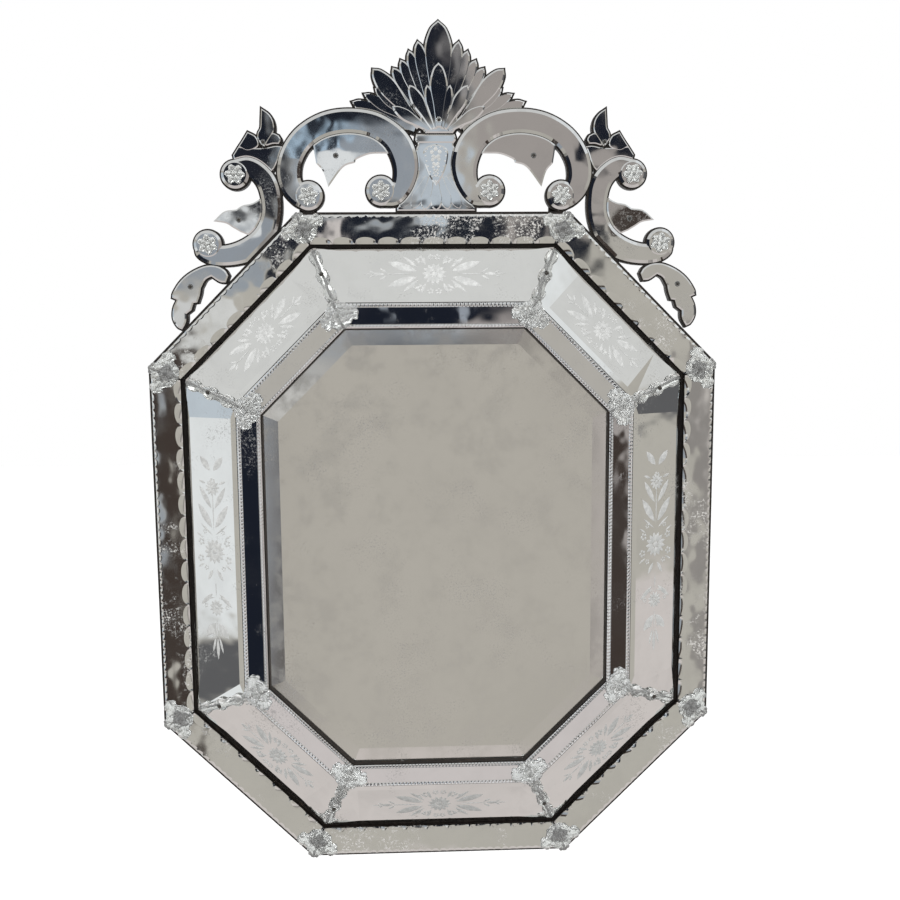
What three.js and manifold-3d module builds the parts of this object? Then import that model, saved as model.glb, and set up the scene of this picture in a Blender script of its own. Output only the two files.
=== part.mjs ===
// A Venetian wall mirror: an eight-sided wooden carcass faced with cut and silvered glass, with a pierced crest.
// Millimetres, +Z up. The wall is the plane y = 0 and the mirror faces -Y. The origin is the middle of the top
// rail's back, which bears on the wall. An inset runs inwards from the carcass's outer edge, in the wall's plane,
// and a depth runs forwards from the wall. Outlines of the crest are drawn up from the middle of the top edge.
import * as THREE from "three";
import { mergeVertices } from "three/addons/utils/BufferGeometryUtils.js";
import Module from "manifold-3d";

const wasm = await Module();
wasm.setup();

// The carcass
const frameWidth = 860;
const frameHeight = 1012;
const cornerCut = 226; // what each 45 degree corner takes off the width and off the height
const rimThickness = 20;
const rimLip = 4; // bare wood outside the outer strips
const slopeWood = 12; // thickness of the wood under the sloping panels
const clearance = 0.3; // between pieces that touch

// The glass facings, from the outer edge to the middle
const outerStripWidth = 43;
const outerStripGlass = 4;
const channelWidth = 4; // blackened groove between the outer strips and the panels
const panelSink = 2; // how far a panel's outer edge lies behind the rim's front
const panelRun = 82;
const panelRise = 43;
const panelGlass = 4;
const panelBevel = 8;
const panelEndBevel = 20;
const stripStep = 1.5; // from a panel's inner edge to the inner strip, inwards and forwards
const innerStripRun = 36.5;
const innerStripRise = 5.5;
const innerStripGlass = 3;
const innerStripBevel = 4.5;
const bevelDrop = 1.4; // how far a bevelled edge falls behind the face
const mitreGap = 1.2; // cut off each end of a strip or panel at its mitre

// The cut scallops along both edges of an outer strip
const scallopPitch = 36;
const scallopDepth = 9;
const scallopCusp = 1.6;
const scallopSteps = 2;
const scallopEnd = 0.5; // share of its depth that the cut keeps at a strip's ends

// The middle plate and the board behind it
const mirrorRecess = 8; // behind the inner strips' inner edge
const mirrorGlass = 5;
const mirrorBevel = 33;
const mirrorBevelDrop = 2;
const mirrorReveal = 2; // wood that shows inside the inner strips
const mirrorOverlap = 10; // of the plate behind the wood
const backboardThickness = 8.5;
const backboardLip = 2; // wood that stands behind the backboard

// The crest
const crestRail = 204; // half length of the top rail that the crest's outlines are drawn for
const crestBoardThickness = 12;
const crestGlass = 4;
const scrollBevel = 4.5;
const leafBevel = 2.6;
const boardMargin = 1.7; // how far the blackened board shows around its glass
const pieceGap = 0.8; // between neighbouring pieces of the crest
const crestShift = 3; // of the crest to the right of the middle
const palmetteShift = 6; // of the palmette to the right, within the crest
const vaseShift = 1;
const heartThickness = 6;
const vaseThickness = 3.2;
const fluteThickness = 4.6; // of the middle flute
const fluteFall = 0.4; // from each flute to the next, outwards
const shieldThickness = 5.6;
const jointRadius = 8; // of the discs of board that join neighbouring scrolls and leaves

// The battens that carry the crest on the rim. Their places along it are for the drawn rail.
const battenThickness = 8;
const battenReach = 38; // into the rim
const middleBattenPlace = 44;
const middleBattenWidth = 24;
const middleBattenRise = 44;
const railBattenPlace = 187;
const railBattenWidth = 26;
const railBattenRise = 36;
const chamferBattenPlace = 83;
const chamferBattenWidth = 28;
const chamferBattenRise = 22;

// The clear glass ornaments
const ornamentEdge = 1.6; // thickness of their thin edges
const flowerRadius = 11;
const flowerHeight = 9;
const flowerLeafLength = 34; // of the two leaves along the strips
const flowerLeafTurn = 1.75; // radians from the mitre
const flowerHeart = 9; // radius between the leaves
const leafHalfWidth = 8;
const leafFullness = 0.6; // where along its length a leaf is widest
const leafMargin = 2; // a leaf's tip past the edge it runs to, or short of it
const leafHeight = 5;
const bossRadius = 8;
const bossHeight = 9;
const barLobes = 6;
const barHalfWidth = 10;
const barWaist = 6.5;
const barEnd = 4; // half width of its ends
const barHeight = 6;
const barShift = 3; // towards the middle, from the panel's middle
const barRidge = 0.3; // share of its length that its ridge runs each way from the middle
const barLeafLength = 29;
const barLeafTurn = 1.4;
const barLeafHalfWidth = 9;
const barLeafReach = 6; // past the strip's outer edge, towards the bar
const barHeart = 8;

// The hanging plates
const hangerLength = 60;
const hangerWidth = 22;
const hangerThickness = 2;
const keyholeRadius = 4.5;
const keyholeSlot = 2.4;
const keyholeRise = 8;
const keyholeMargin = 2.7; // of the pocket behind it
const hangerPocket = 7; // its depth

// Worked out from the sizes above
const halfWidth = frameWidth / 2;
const halfHeight = frameHeight / 2;
const railHalf = halfWidth - cornerCut;
const stileHalf = halfHeight - cornerCut;
const sideCount = 8;
const turn = (2 * Math.PI) / sideCount;
const mitreSlope = Math.tan(turn / 2);
const mitreStretch = 1 / Math.cos(turn / 2);
const outerFace = rimThickness + clearance + outerStripGlass;
const outerStripEnd = rimLip + outerStripWidth;
const panelStart = outerStripEnd + channelWidth;
const panelStartDepth = rimThickness - panelSink;
const panelEnd = panelStart + panelRun;
const panelEndDepth = panelStartDepth + panelRise;
const stripStart = panelEnd + stripStep;
const stripStartDepth = panelEndDepth + stripStep;
const stripEnd = stripStart + innerStripRun;
const stripEndDepth = stripStartDepth + innerStripRise;
const mirrorDepth = stripEndDepth - mirrorRecess;
const openingInset = stripEnd + mirrorReveal;
const plateInset = openingInset - mirrorOverlap;
const backboardFront = mirrorDepth - mirrorGlass - clearance;
const backboardBack = backboardFront - backboardThickness;
const mountInset = outerStripEnd / 2;
const middleHeight = mountInset - halfHeight;
const crestFace = rimThickness + clearance + crestGlass;
const crestScale = railHalf / crestRail;
const crestBack = rimThickness + clearance;
const middleBattenEdge = middleBattenPlace * crestScale + middleBattenWidth / 2;
const railBattenEdge = railBattenPlace * crestScale - railBattenWidth / 2;
const hangerReach = (middleBattenEdge + railBattenEdge) / 2;

// How finely the shapes are faceted, and what their making needs
const outerCurveSteps = 16;
const innerCurveSteps = 12;
const voluteSides = 10;
const knobSides = 7;
const jointSides = 8;
const keyholeSteps = 3;
const beyond = 1; // how far a cutter runs past what it cuts
const mergeDistance = 1e-4;
const sharpest = 0.3; // limits how far a sharp corner moves when its outline grows

const silvered = { color: 0xb9bcbd, roughness: 0.05, metalness: 1 };
const clearGlass = { color: 0xdfe5e4, roughness: 0.08, metalness: 0.1 };
const blackWood = { color: 0x17130f, roughness: 0.6, metalness: 0 };
const bareWood = { color: 0x8a6f4c, roughness: 0.8, metalness: 0 };
const steel = { color: 0x9a9a94, roughness: 0.4, metalness: 1 };

const flat = (x, y) => new THREE.Vector2(x, y);
const solidPoint = (x, y, z) => new THREE.Vector3(x, y, z);

// A closed body from its corners and its flat faces, turned to face outwards
function body(points, faces) {
  const triangles = faces.flatMap((face) =>
    face.slice(2).flatMap((corner, i) => [face[0], face[i + 1], corner]));
  let volume = 0;
  for (let i = 0; i < triangles.length; i += 3) {
    const [a, b, c] = triangles.slice(i, i + 3).map((corner) => points[corner]);
    volume += a.dot(b.clone().cross(c));
  }
  if (volume < 0) triangles.reverse();
  const geometry = new THREE.BufferGeometry().setFromPoints(points);
  geometry.setIndex(triangles);
  return geometry;
}

function toSolid(geometry) {
  const bare = geometry.clone();
  bare.deleteAttribute("normal");
  bare.deleteAttribute("uv");
  const merged = bare.index ? bare : mergeVertices(bare, mergeDistance);
  return new wasm.Manifold(new wasm.Mesh({
    numProp: 3,
    vertProperties: new Float32Array(merged.attributes.position.array),
    triVerts: new Uint32Array(merged.index.array),
  }));
}

function fromSolid(solid) {
  const mesh = solid.getMesh();
  const geometry = new THREE.BufferGeometry();
  geometry.setAttribute("position", new THREE.BufferAttribute(new Float32Array(mesh.vertProperties), 3));
  geometry.setIndex([...mesh.triVerts]);
  return geometry;
}

const join = (geometries) => geometries.map(toSolid).reduce((whole, part) => whole.add(part));

// A box between two depths, given by its corners across and up
function block(left, right, low, high, back, front) {
  const box = new THREE.BoxGeometry(right - left, front - back, high - low);
  box.translate((left + right) / 2, -(front + back) / 2, (low + high) / 2);
  return mergeVertices(stripped(box), mergeDistance);
}

function stripped(geometry) {
  geometry.deleteAttribute("normal");
  geometry.deleteAttribute("uv");
  return geometry;
}

function piece(name, geometry, look) {
  const mesh = new THREE.Mesh(geometry, new THREE.MeshStandardMaterial(look));
  mesh.name = name;
  return mesh;
}

// Outlines, anticlockwise as seen from the front

const wound = (outline) => (THREE.ShapeUtils.area(outline) < 0 ? [...outline].reverse() : outline);

function grown(outline, distance) {
  const count = outline.length;
  return outline.map((point, i) => {
    const before = point.clone().sub(outline[(i + count - 1) % count]).normalize();
    const after = outline[(i + 1) % count].clone().sub(point).normalize();
    const sum = flat(before.y + after.y, -before.x - after.x);
    const sharpness = Math.max(1 + before.dot(after), sharpest);
    return point.clone().addScaledVector(sum, distance / sharpness);
  });
}

function round(x, y, radius, sides) {
  return [...Array(sides).keys()].map((i) => {
    const angle = (2 * Math.PI * i) / sides;
    return flat(x + radius * Math.cos(angle), y + radius * Math.sin(angle));
  });
}

const curve = (points, steps) => new THREE.SplineCurve(points.map(([x, y]) => flat(x, y))).getPoints(steps);
const polygon = (points) => points.map(([x, y]) => flat(x, y));

// A plate with its outline's edges square at the back and bevelled at the front. An outline's second coordinate
// is up.
function plate(outline, back, front, bevel = 0, drop = 0) {
  const outer = wound(outline);
  const rings = [[outer, back], [outer, front - drop]];
  if (bevel > 0) rings.push([grown(outer, -bevel), front]);
  const count = outer.length;
  const points = rings.flatMap(([ring, depth]) => ring.map((point) => solidPoint(point.x, -depth, point.y)));
  const last = (rings.length - 1) * count;
  const faces = THREE.ShapeUtils.triangulateShape(outer, []).map(([a, b, c]) => [c, b, a]);
  const top = THREE.ShapeUtils.triangulateShape(rings[rings.length - 1][0], []);
  faces.push(...top.map((face) => face.map((corner) => corner + last)));
  for (let level = 0; level < rings.length - 1; level += 1) {
    for (let i = 0; i < count; i += 1) {
      const here = level * count + i;
      const next = level * count + ((i + 1) % count);
      faces.push([here, next, next + count, here + count]);
    }
  }
  return body(points, faces);
}

// The octagon

const corner = (index, inset) => {
  const across = [railHalf - inset * mitreSlope, halfWidth - inset];
  const up = [halfHeight - inset, stileHalf - inset * mitreSlope];
  const steep = index % 4 === 0 || index % 4 === 3 ? 0 : 1;
  const right = index < 4 ? 1 : -1;
  const high = index < 2 || index > 5 ? 1 : -1;
  return flat(right * across[steep], high * up[steep]);
};

const octagon = (inset) => [...Array(sideCount).keys()].map((index) => corner(index, inset));

// A ring that keeps one section, given as insets and depths, all round the octagon
function ring(section) {
  const points = [];
  const faces = [];
  const count = section.length;
  for (let index = 0; index < sideCount; index += 1) {
    section.forEach(([inset, depth], i) => {
      const at = corner(index, inset);
      points.push(solidPoint(at.x, -depth, at.y));
      const next = (i + 1) % count;
      const ahead = ((index + 1) % sideCount) * count;
      faces.push([index * count + i, index * count + next, ahead + next, ahead + i]);
    });
  }
  return body(points, faces);
}

// Sides are numbered clockwise from the top rail, and a corner follows the side of its number.
// A side's own frame has its outer edge's middle as origin, runs clockwise along x and outwards along z.
const sides = [...Array(sideCount).keys()].map((index) => {
  const before = corner((index + sideCount - 1) % sideCount, 0);
  const after = corner(index, 0);
  const group = new THREE.Group();
  group.position.set((before.x + after.x) / 2, 0, (before.y + after.y) / 2);
  group.rotation.y = index * turn;
  return { group, half: before.distanceTo(after) / 2 };
});

// A corner's own frame has the outer corner as origin and its bisector, outwards, along z
const corners = [...Array(sideCount).keys()].map((index) => {
  const at = corner(index, 0);
  const group = new THREE.Group();
  group.position.set(at.x, 0, at.y);
  group.rotation.y = (index + 0.5) * turn;
  return group;
});

// The carcass

function carcass() {
  const slope = Math.atan2(panelRise, panelRun);
  const stripAngle = Math.atan2(innerStripRise, innerStripRun);
  const under = panelGlass + clearance;
  const panelSeat = [panelStart + under * Math.sin(slope), panelStartDepth - under * Math.cos(slope)];
  const onSeat = (inset) => panelSeat[1] + (inset - panelSeat[0]) * Math.tan(slope);
  const belowStrip = (innerStripGlass + clearance) / Math.cos(stripAngle);
  const onStrip = (inset) => stripStartDepth - belowStrip + (inset - stripStart) * Math.tan(stripAngle);
  const meeting = (onSeat(0) - onStrip(0)) / (Math.tan(stripAngle) - Math.tan(slope));
  const onBack = (depth) =>
    panelSeat[0] + (depth - panelSeat[1]) / Math.tan(slope) + slopeWood / Math.sin(slope);
  const lip = mirrorDepth - mirrorBevelDrop * (1 - mirrorOverlap / mirrorBevel) + clearance;
  const rebate = plateInset - clearance;
  const back = backboardBack - backboardLip;
  const section = [
    [0, 0],
    [0, rimThickness],
    [outerStripEnd, rimThickness],
    [outerStripEnd, onSeat(panelStart)],
    [panelStart, onSeat(panelStart)],
    [meeting, onSeat(meeting)],
    [openingInset, onStrip(openingInset)],
    [openingInset, lip],
    [rebate, lip],
    [rebate, back],
    [onBack(back), back],
    [onBack(0), 0],
  ];
  let wood = toSolid(ring(section));
  battens.forEach((batten) => {
    wood = wood.subtract(battenBody(batten, clearance));
  });
  [-1, 1].forEach((side) => {
    const middle = side * hangerReach;
    const high = halfHeight - mountInset + hangerWidth / 2 + clearance;
    const low = high - hangerWidth - 2 * clearance;
    const long = hangerLength / 2 + clearance;
    const seat = block(middle - long, middle + long, low, high, -beyond, hangerThickness + clearance);
    const room = keyholeRadius + keyholeMargin;
    const centre = (low + high) / 2;
    const pocket = block(middle - room, middle + room, centre - room, centre + room, -beyond, hangerPocket);
    wood = wood.subtract(toSolid(seat)).subtract(toSolid(pocket));
  });
  return piece("carcass", fromSolid(wood), blackWood);
}

// The facings

// A bevelled glass with mitred ends, its face rising from one inset and depth to another
function facing(half, start, startDepth, run, rise, glass, bevel, endBevel) {
  const slope = Math.atan2(rise, run);
  const width = Math.hypot(run, rise);
  const at = (along, height) => [
    start + along * Math.cos(slope) - height * Math.sin(slope),
    startDepth + along * Math.sin(slope) + height * Math.cos(slope),
  ];
  const square = half - (start + run) * mitreSlope - mitreGap - endBevel;
  const backRows = [[0, -glass], [width, -glass]];
  const rows = [...backRows, [width, -bevelDrop], [width - bevel, 0], [bevel, 0], [0, -bevelDrop]];
  const points = rows.flatMap(([along, height]) => {
    const [inset, depth] = at(along, height);
    const end = height === 0 ? square : half - inset * mitreSlope - mitreGap;
    return [solidPoint(-end, -depth, -inset), solidPoint(end, -depth, -inset)];
  });
  const faces = rows.map((row, i) => {
    const next = (i + 1) % rows.length;
    return [2 * i, 2 * i + 1, 2 * next + 1, 2 * next];
  });
  [0, 1].forEach((end) => {
    const walls = [[0, 1, 2, 5], [5, 2, 3, 4]].map((wall) => wall.map((row) => 2 * row + end));
    faces.push(...(end ? walls.map((wall) => wall.reverse()) : walls));
  });
  return body(points, faces);
}

// A flat strip with a row of cut scallops down each edge of its face. The scallops of the two edges take turns.
function scallopedStrip(half) {
  const ends = [rimLip, outerStripEnd].map((inset) => half - inset * mitreSlope - mitreGap);
  const scallops = Math.max(Math.round((ends[0] + ends[1]) / scallopPitch), 2);
  const steps = scallops * scallopSteps;
  const depthAt = (step) => {
    const phase = (step % scallopSteps) / scallopSteps;
    return scallopCusp + (scallopDepth - scallopCusp) * Math.sin(Math.PI * phase);
  };
  const back = rimThickness + clearance;
  const edge = outerFace - bevelDrop;
  const points = [];
  const add = (share, inset, depth) => {
    const reach = half - inset * mitreSlope - mitreGap;
    return points.push(solidPoint(share * reach, -depth, -inset)) - 1;
  };
  const stations = [...Array(steps + 1).keys()].map((step) => {
    const share = (2 * step) / steps - 1;
    const offset = Math.floor(scallopSteps / 2);
    return [
      add(share, rimLip, edge),
      add(share, rimLip + depthAt(step + offset) * (step % steps ? 1 : scallopEnd), outerFace),
      add(share, outerStripEnd - depthAt(step), outerFace),
      add(share, outerStripEnd, edge),
    ];
  });
  const [outerStart, innerStart, innerStop, outerStop] = [
    add(-1, rimLip, back), add(-1, outerStripEnd, back), add(1, outerStripEnd, back), add(1, rimLip, back),
  ];
  const faces = [[outerStart, outerStop, innerStop, innerStart]];
  for (let step = 0; step < steps; step += 1) {
    const [here, next] = [stations[step], stations[step + 1]];
    [0, 1, 2].forEach((row) => faces.push([here[row], here[row + 1], next[row + 1], next[row]]));
    faces.push([outerStart, here[0], next[0]], [innerStop, next[3], here[3]]);
  }
  const last = stations[steps];
  faces.push([outerStart, last[0], outerStop], [innerStop, stations[0][3], innerStart]);
  faces.push([outerStart, innerStart, ...[...stations[0]].reverse()], [innerStop, outerStop, ...last]);
  return body(points, faces);
}

function facings(side, index) {
  const number = index + 1;
  side.group.add(
    piece(`outer_strip_${number}`, scallopedStrip(side.half), silvered),
    piece(`engraved_panel_${number}`, facing(side.half, panelStart, panelStartDepth, panelRun, panelRise,
      panelGlass, panelBevel, panelEndBevel), silvered),
    piece(`inner_strip_${number}`, facing(side.half, stripStart, stripStartDepth, innerStripRun, innerStripRise,
      innerStripGlass, innerStripBevel, innerStripBevel), silvered),
  );
  return side.group;
}

// The middle plate and its backboard

function middlePlate() {
  const back = octagon(plateInset);
  const face = octagon(plateInset + mirrorBevel);
  const depths = [mirrorDepth - mirrorGlass, mirrorDepth - mirrorBevelDrop, mirrorDepth];
  const layers = [back, back, face].map((outline, i) => outline.map((at) => solidPoint(at.x, -depths[i], at.y)));
  const points = layers.flat();
  const around = [...Array(sideCount).keys()];
  const ringAt = (level) => around.map((i) => i + level * sideCount);
  const faces = [ringAt(0), ringAt(2).reverse()];
  around.forEach((i) => {
    const next = (i + 1) % sideCount;
    [0, 1].forEach((level) => {
      const [low, high] = [ringAt(level), ringAt(level + 1)];
      faces.push([low[next], low[i], high[i], high[next]]);
    });
  });
  return piece("middle_mirror", body(points, faces), silvered);
}

const backboard = () => piece("backboard", plate(octagon(plateInset), backboardBack, backboardFront), bareWood);

// The clear glass ornaments, made lying flat: x across, y along and z off the glass

// A moulded body on an outline, with a sharp thin edge and a ridge between two points of its length
function moulded(outline, from, to, peak) {
  const rim = wound(outline);
  const count = rim.length;
  const ridge = from === to ? [flat(0, from)] : [flat(0, from), flat(0, to)];
  const nearest = (point) =>
    ridge.length < 2 || point.distanceTo(ridge[0]) <= point.distanceTo(ridge[1]) ? 0 : 1;
  const points = [
    ...rim.map((point) => solidPoint(point.x, point.y, 0)),
    ...rim.map((point) => solidPoint(point.x, point.y, ornamentEdge)),
    ...ridge.map((point) => solidPoint(point.x, point.y, peak)),
  ];
  const faces = THREE.ShapeUtils.triangulateShape(rim, []).map(([a, b, c]) => [c, b, a]);
  rim.forEach((point, i) => {
    const next = (i + 1) % count;
    faces.push([i, next, next + count, i + count]);
    const [own, other] = [nearest(point), nearest(rim[next])];
    faces.push([i + count, next + count, 2 * count + own]);
    if (own !== other) faces.push([next + count, 2 * count + other, 2 * count + own]);
  });
  return body(points, faces);
}

const knob = (radius, height) => moulded(round(0, 0, radius, knobSides), 0, 0, height);

// Leaves that spring from one point, each given by its direction from the y axis, its length and its half width
function leafStar(leaves, heartRadius) {
  const outline = leaves.flatMap(([angle, length, halfWidth], i) => {
    const ahead = leaves[(i + 1) % leaves.length][0] + (i + 1 < leaves.length ? 0 : 2 * Math.PI);
    const notch = (angle + ahead) / 2;
    const along = flat(-Math.sin(angle), Math.cos(angle));
    const across = flat(-along.y, along.x);
    const at = (share, side) =>
      along.clone().multiplyScalar(share * length).addScaledVector(across, side * halfWidth);
    const between = flat(-Math.sin(notch), Math.cos(notch)).multiplyScalar(heartRadius);
    return [at(leafFullness, -1), at(1, 0), at(leafFullness, 1), between];
  });
  return moulded(outline, 0, 0, leafHeight);
}

// Stands an ornament on the glass at a corner. Its y runs inwards up a slope from an inset and a depth.
function standing(solid, inset, depth, slope) {
  const geometry = fromSolid(solid);
  geometry.rotateX(slope);
  const place = new THREE.Matrix4().makeBasis(solidPoint(-1, 0, 0), solidPoint(0, 0, -1), solidPoint(0, -1, 0));
  geometry.applyMatrix4(place);
  geometry.translate(0, -depth, -inset * mitreStretch);
  return geometry;
}

function cornerFlower() {
  const middle = (rimLip + outerStripEnd) / 2;
  const inwards = (outerStripEnd - middle) * mitreStretch - leafMargin;
  const leaves = [
    [0, inwards, leafHalfWidth],
    [flowerLeafTurn, flowerLeafLength, leafHalfWidth],
    [Math.PI, middle * mitreStretch + leafMargin, leafHalfWidth],
    [2 * Math.PI - flowerLeafTurn, flowerLeafLength, leafHalfWidth],
  ];
  const flower = join([knob(flowerRadius, flowerHeight), leafStar(leaves, flowerHeart)]);
  return standing(flower, middle, outerFace + clearance, 0);
}

function mitreOrnament() {
  const panelSlope = Math.atan2(panelRise, panelRun * mitreStretch);
  const length = Math.hypot(panelRise, panelRun * mitreStretch);
  const right = [...Array(barLobes + 1).keys()].map((i) => {
    const end = i === 0 || i === barLobes;
    return flat(end ? barEnd : i % 2 ? barHalfWidth : barWaist, (length * i) / barLobes - length / 2);
  });
  const outline = [...right, ...right.map((point) => flat(-point.x, point.y)).reverse()];
  const bar = moulded(outline, -barRidge * length, barRidge * length, barHeight);
  const stripSlope = Math.atan2(innerStripRise, innerStripRun * mitreStretch);
  const reach = (innerStripRun * mitreStretch) / 2;
  const leaves = [
    [0, reach + leafMargin, leafHalfWidth],
    [barLeafTurn, barLeafLength, barLeafHalfWidth],
    [Math.PI, reach + barLeafReach, leafHalfWidth],
    [2 * Math.PI - barLeafTurn, barLeafLength, barLeafHalfWidth],
  ];
  const lift = 2 * clearance;
  const height = panelStartDepth + panelRise / 2 + (barShift * panelRise) / panelRun;
  const bossed = join([bar, knob(bossRadius, bossHeight)]);
  const onPanel = standing(bossed, panelStart + panelRun / 2 + barShift, height + lift, panelSlope);
  const middle = stripStart + innerStripRun / 2;
  const flower = join([knob(flowerRadius, flowerHeight), leafStar(leaves, barHeart)]);
  const onStrip = standing(flower, middle, stripStartDepth + innerStripRise / 2 + lift, stripSlope);
  return fromSolid(join([onPanel, onStrip]));
}

// The crest, drawn for its right half

const bigScroll = {
  outer: [[80, 9], [55, 11], [36, 31], [26, 60], [30, 92], [48, 120], [84, 142], [128, 148],
    [168, 141], [203, 120], [225, 90], [232.5, 58], [226, 31], [210, 12], [190, 2.5]],
  inner: [[78, 24], [66, 35], [61, 52], [63, 72], [74, 94], [96, 109], [128, 114],
    [160, 108], [183, 93], [196, 72], [199, 52], [195, 38], [190, 24]],
  volutes: [[80.5, 30.5, 21.5], [187.5, 23.5, 21]],
};
const smallScroll = {
  outer: [[296, 75], [276, 79], [258, 73], [241, 58], [231.5, 39], [228.5, 18], [229, -2], [233, -21],
    [241, -40], [254, -57], [272, -69], [295, -75.5], [320, -77], [340, -73], [354, -63], [357, -50]],
  inner: [[290, 60], [272, 50], [262, 38], [257, 22], [255.5, 4], [259, -11], [267, -25], [280, -36],
    [297, -44.5], [315, -48.5], [335, -47]],
  volutes: [[294, 54.5, 20.5], [337.5, -46.5, 20.5]],
};
const bigLeaf = [[60, 84], [80, 84], [97, 83], [115, 76], [118, 71], [136, 64], [158, 36], [165, 58], [175, 70],
  [178, 92], [176, 108], [128, 118], [74, 110]];
const smallLeaf = [[254, 22], [270, 13], [284, 10], [294, 4], [312, 1], [328, -13], [310, -16], [300, -22],
  [288, -29], [272, -32], [250, -10]];
const finial = [[253, 148], [243, 141], [237, 132], [235, 121], [237, 113], [229, 110], [226, 104], [229, 98],
  [224, 94], [230, 80], [240, 60], [290, 70], [296, 82], [288, 94], [280, 105], [274, 115], [265, 117], [259, 113],
  [255, 121], [254, 133]];
const droopingLeaf = [[309, -92], [314, -84], [326, -78], [343, -78], [364, -87], [380, -100], [391, -116],
  [393, -124], [386, -127], [392, -140], [393, -155], [387, -167], [380, -171], [374, -160], [373, -148],
  [365, -142], [362, -132], [356, -131], [352, -120], [350, -110], [343, -98], [334, -93], [322, -101],
  [313, -102]];
const bigLeafBacking = [[62, 93], [98, 91], [122, 84], [142, 72], [156, 56], [161, 66], [172, 84], [175, 100],
  [128, 118], [74, 110]];
const smallLeafBacking = [[254, 16], [270, 7], [286, 3], [300, -4], [306, -9], [296, -14], [284, -22], [272, -26],
  [250, -8]];
const shield = [[0, 36], [10, 52], [17, 72], [17, 90], [0, 97], [-17, 90], [-17, 72], [-10, 52]];
const vaseBody = [[28, 112], [30, 104], [26, 97], [29, 88], [29, 60], [38, 26], [58, 6], [58, 1.5], [-58, 1.5],
  [-58, 6], [-38, 26], [-29, 60], [-29, 88], [-26, 97], [-30, 104], [-28, 112]];
const vaseNeck = [[-34, 70], [34, 70], [34, 112], [-34, 112]]; // which the palmette's heart stands on
const palmetteHeart = [[-20, 112], [20, 112], [27, 124], [25, 142], [12, 155], [-12, 155], [-25, 142], [-27, 124]];
const flutePlaces = [-54, -36, -18, 0, 18, 36, 54];
const fluteRoot = 52; // height that the flutes fan out from
const fluteTip = 1; // height that the middle one reaches down to
const fluteSpread = 0.35; // of their roots, as a share of their places
const fluteLift = 0.06; // of a tip, as a share of its place
const fluteHalfWidth = 10;
const boardJoints = [[229, 38], [326, -78], [240, 76]];
const petalRoot = 0.4; // its half width at the root and at the shoulder, as shares of the greatest
const petalShoulder = 0.68;
const shoulderPlace = 0.74; // where along a petal of no fullness its shoulder lies

const moved = (outline, across) => outline.map((point) => flat(point.x + across, point.y));
const scaled = (outline) => outline.map((point) => point.clone().multiplyScalar(crestScale));
const mirrored = (outline, side) => outline.map((point) => flat(side * point.x, point.y));

function scrollOutlines(scroll, side) {
  const band = [...curve(scroll.outer, outerCurveSteps), ...curve(scroll.inner, innerCurveSteps).reverse()];
  const volutes = scroll.volutes.map(([x, y, radius]) => round(x, y, radius, voluteSides));
  return [band, ...volutes].map((outline) => wound(mirrored(scaled(outline), side)));
}

// A petal with a blunt point, between its root and its tip
function petal([rootX, rootY], [tipX, tipY], halfWidth, fullness = 0.7) {
  const along = flat(tipX - rootX, tipY - rootY);
  const across = flat(along.y, -along.x).normalize().multiplyScalar(halfWidth);
  const at = (share, width) => flat(rootX, rootY).addScaledVector(along, share).addScaledVector(across, width);
  const shoulder = shoulderPlace + (1 - shoulderPlace) * fullness;
  const right = [at(0, petalRoot), at(fullness, 1), at(shoulder, petalShoulder)];
  const left = [at(shoulder, -petalShoulder), at(fullness, -1), at(0, -petalRoot)];
  return [...right, at(1, 0), ...left];
}

// Each petal's thickness is measured off the board, so that the nearer ones overlap the ones behind
const palmettePetals = [
  { tip: [0, 273], root: [0, 125], halfWidth: 20.5, thickness: 6.4, fullness: 0.76 },
  { tip: [30, 243], root: [8, 125], halfWidth: 10.5, thickness: 5.6, fullness: 0.8 },
  { tip: [43, 230], root: [10, 125], halfWidth: 9.5, thickness: 4.9, fullness: 0.8 },
  { tip: [55, 217], root: [12, 125], halfWidth: 9.5, thickness: 4.2, fullness: 0.8 },
  { tip: [67, 206], root: [14, 125], halfWidth: 9.5, thickness: 3.5, fullness: 0.8 },
  { tip: [96, 204], root: [28, 122], halfWidth: 14, thickness: 5.6, fullness: 0.74 },
  { tip: [93, 177], root: [34, 128], halfWidth: 9, thickness: 4.6 },
  { tip: [109, 169], root: [34, 126], halfWidth: 9, thickness: 3.8 },
  { tip: [127, 158], root: [34, 118], halfWidth: 12, thickness: 3 },
  { tip: [0, 212], root: [0, 120], halfWidth: 13.5, thickness: 9, near: true },
  { tip: [17, 181], root: [5, 118], halfWidth: 7.5, thickness: 8.2, near: true },
  { tip: [43, 181], root: [8, 118], halfWidth: 10, thickness: 7.4, near: true },
  { tip: [68, 151], root: [12, 116], halfWidth: 9, thickness: 6.6, near: true },
];

const palmetteOutlines = palmettePetals.flatMap(({ tip, root, halfWidth, thickness, fullness, near }) =>
  (tip[0] === 0 ? [1] : [1, -1]).map((side) => {
    const outline = mirrored(petal(root, tip, halfWidth, fullness), side);
    return { outline: wound(scaled(moved(outline, palmetteShift))), thickness, near };
  }));

const heart = wound(scaled(moved(polygon(palmetteHeart), palmetteShift)));

const vaseFlutes = flutePlaces.map((x) => {
  const flute = petal([fluteSpread * x, fluteRoot], [x, fluteTip + fluteLift * Math.abs(x)], fluteHalfWidth);
  return wound(scaled(moved(flute, vaseShift)));
});
const vaseOutline = wound(scaled(moved(polygon(vaseBody), vaseShift)));

// What stands around a piece is taken off it, with a gap
function without(solid, outlines, gap) {
  const front = crestBack + Math.max(...palmettePetals.map(({ thickness }) => thickness)) + beyond;
  const takeOff = (left, outline) => left.subtract(toSolid(plate(grown(outline, gap), -beyond, front)));
  return outlines.reduce(takeOff, solid);
}

const frameOutline = () => wound(octagon(0).map((point) => flat(point.x - crestShift, point.y - halfHeight)));

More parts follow.
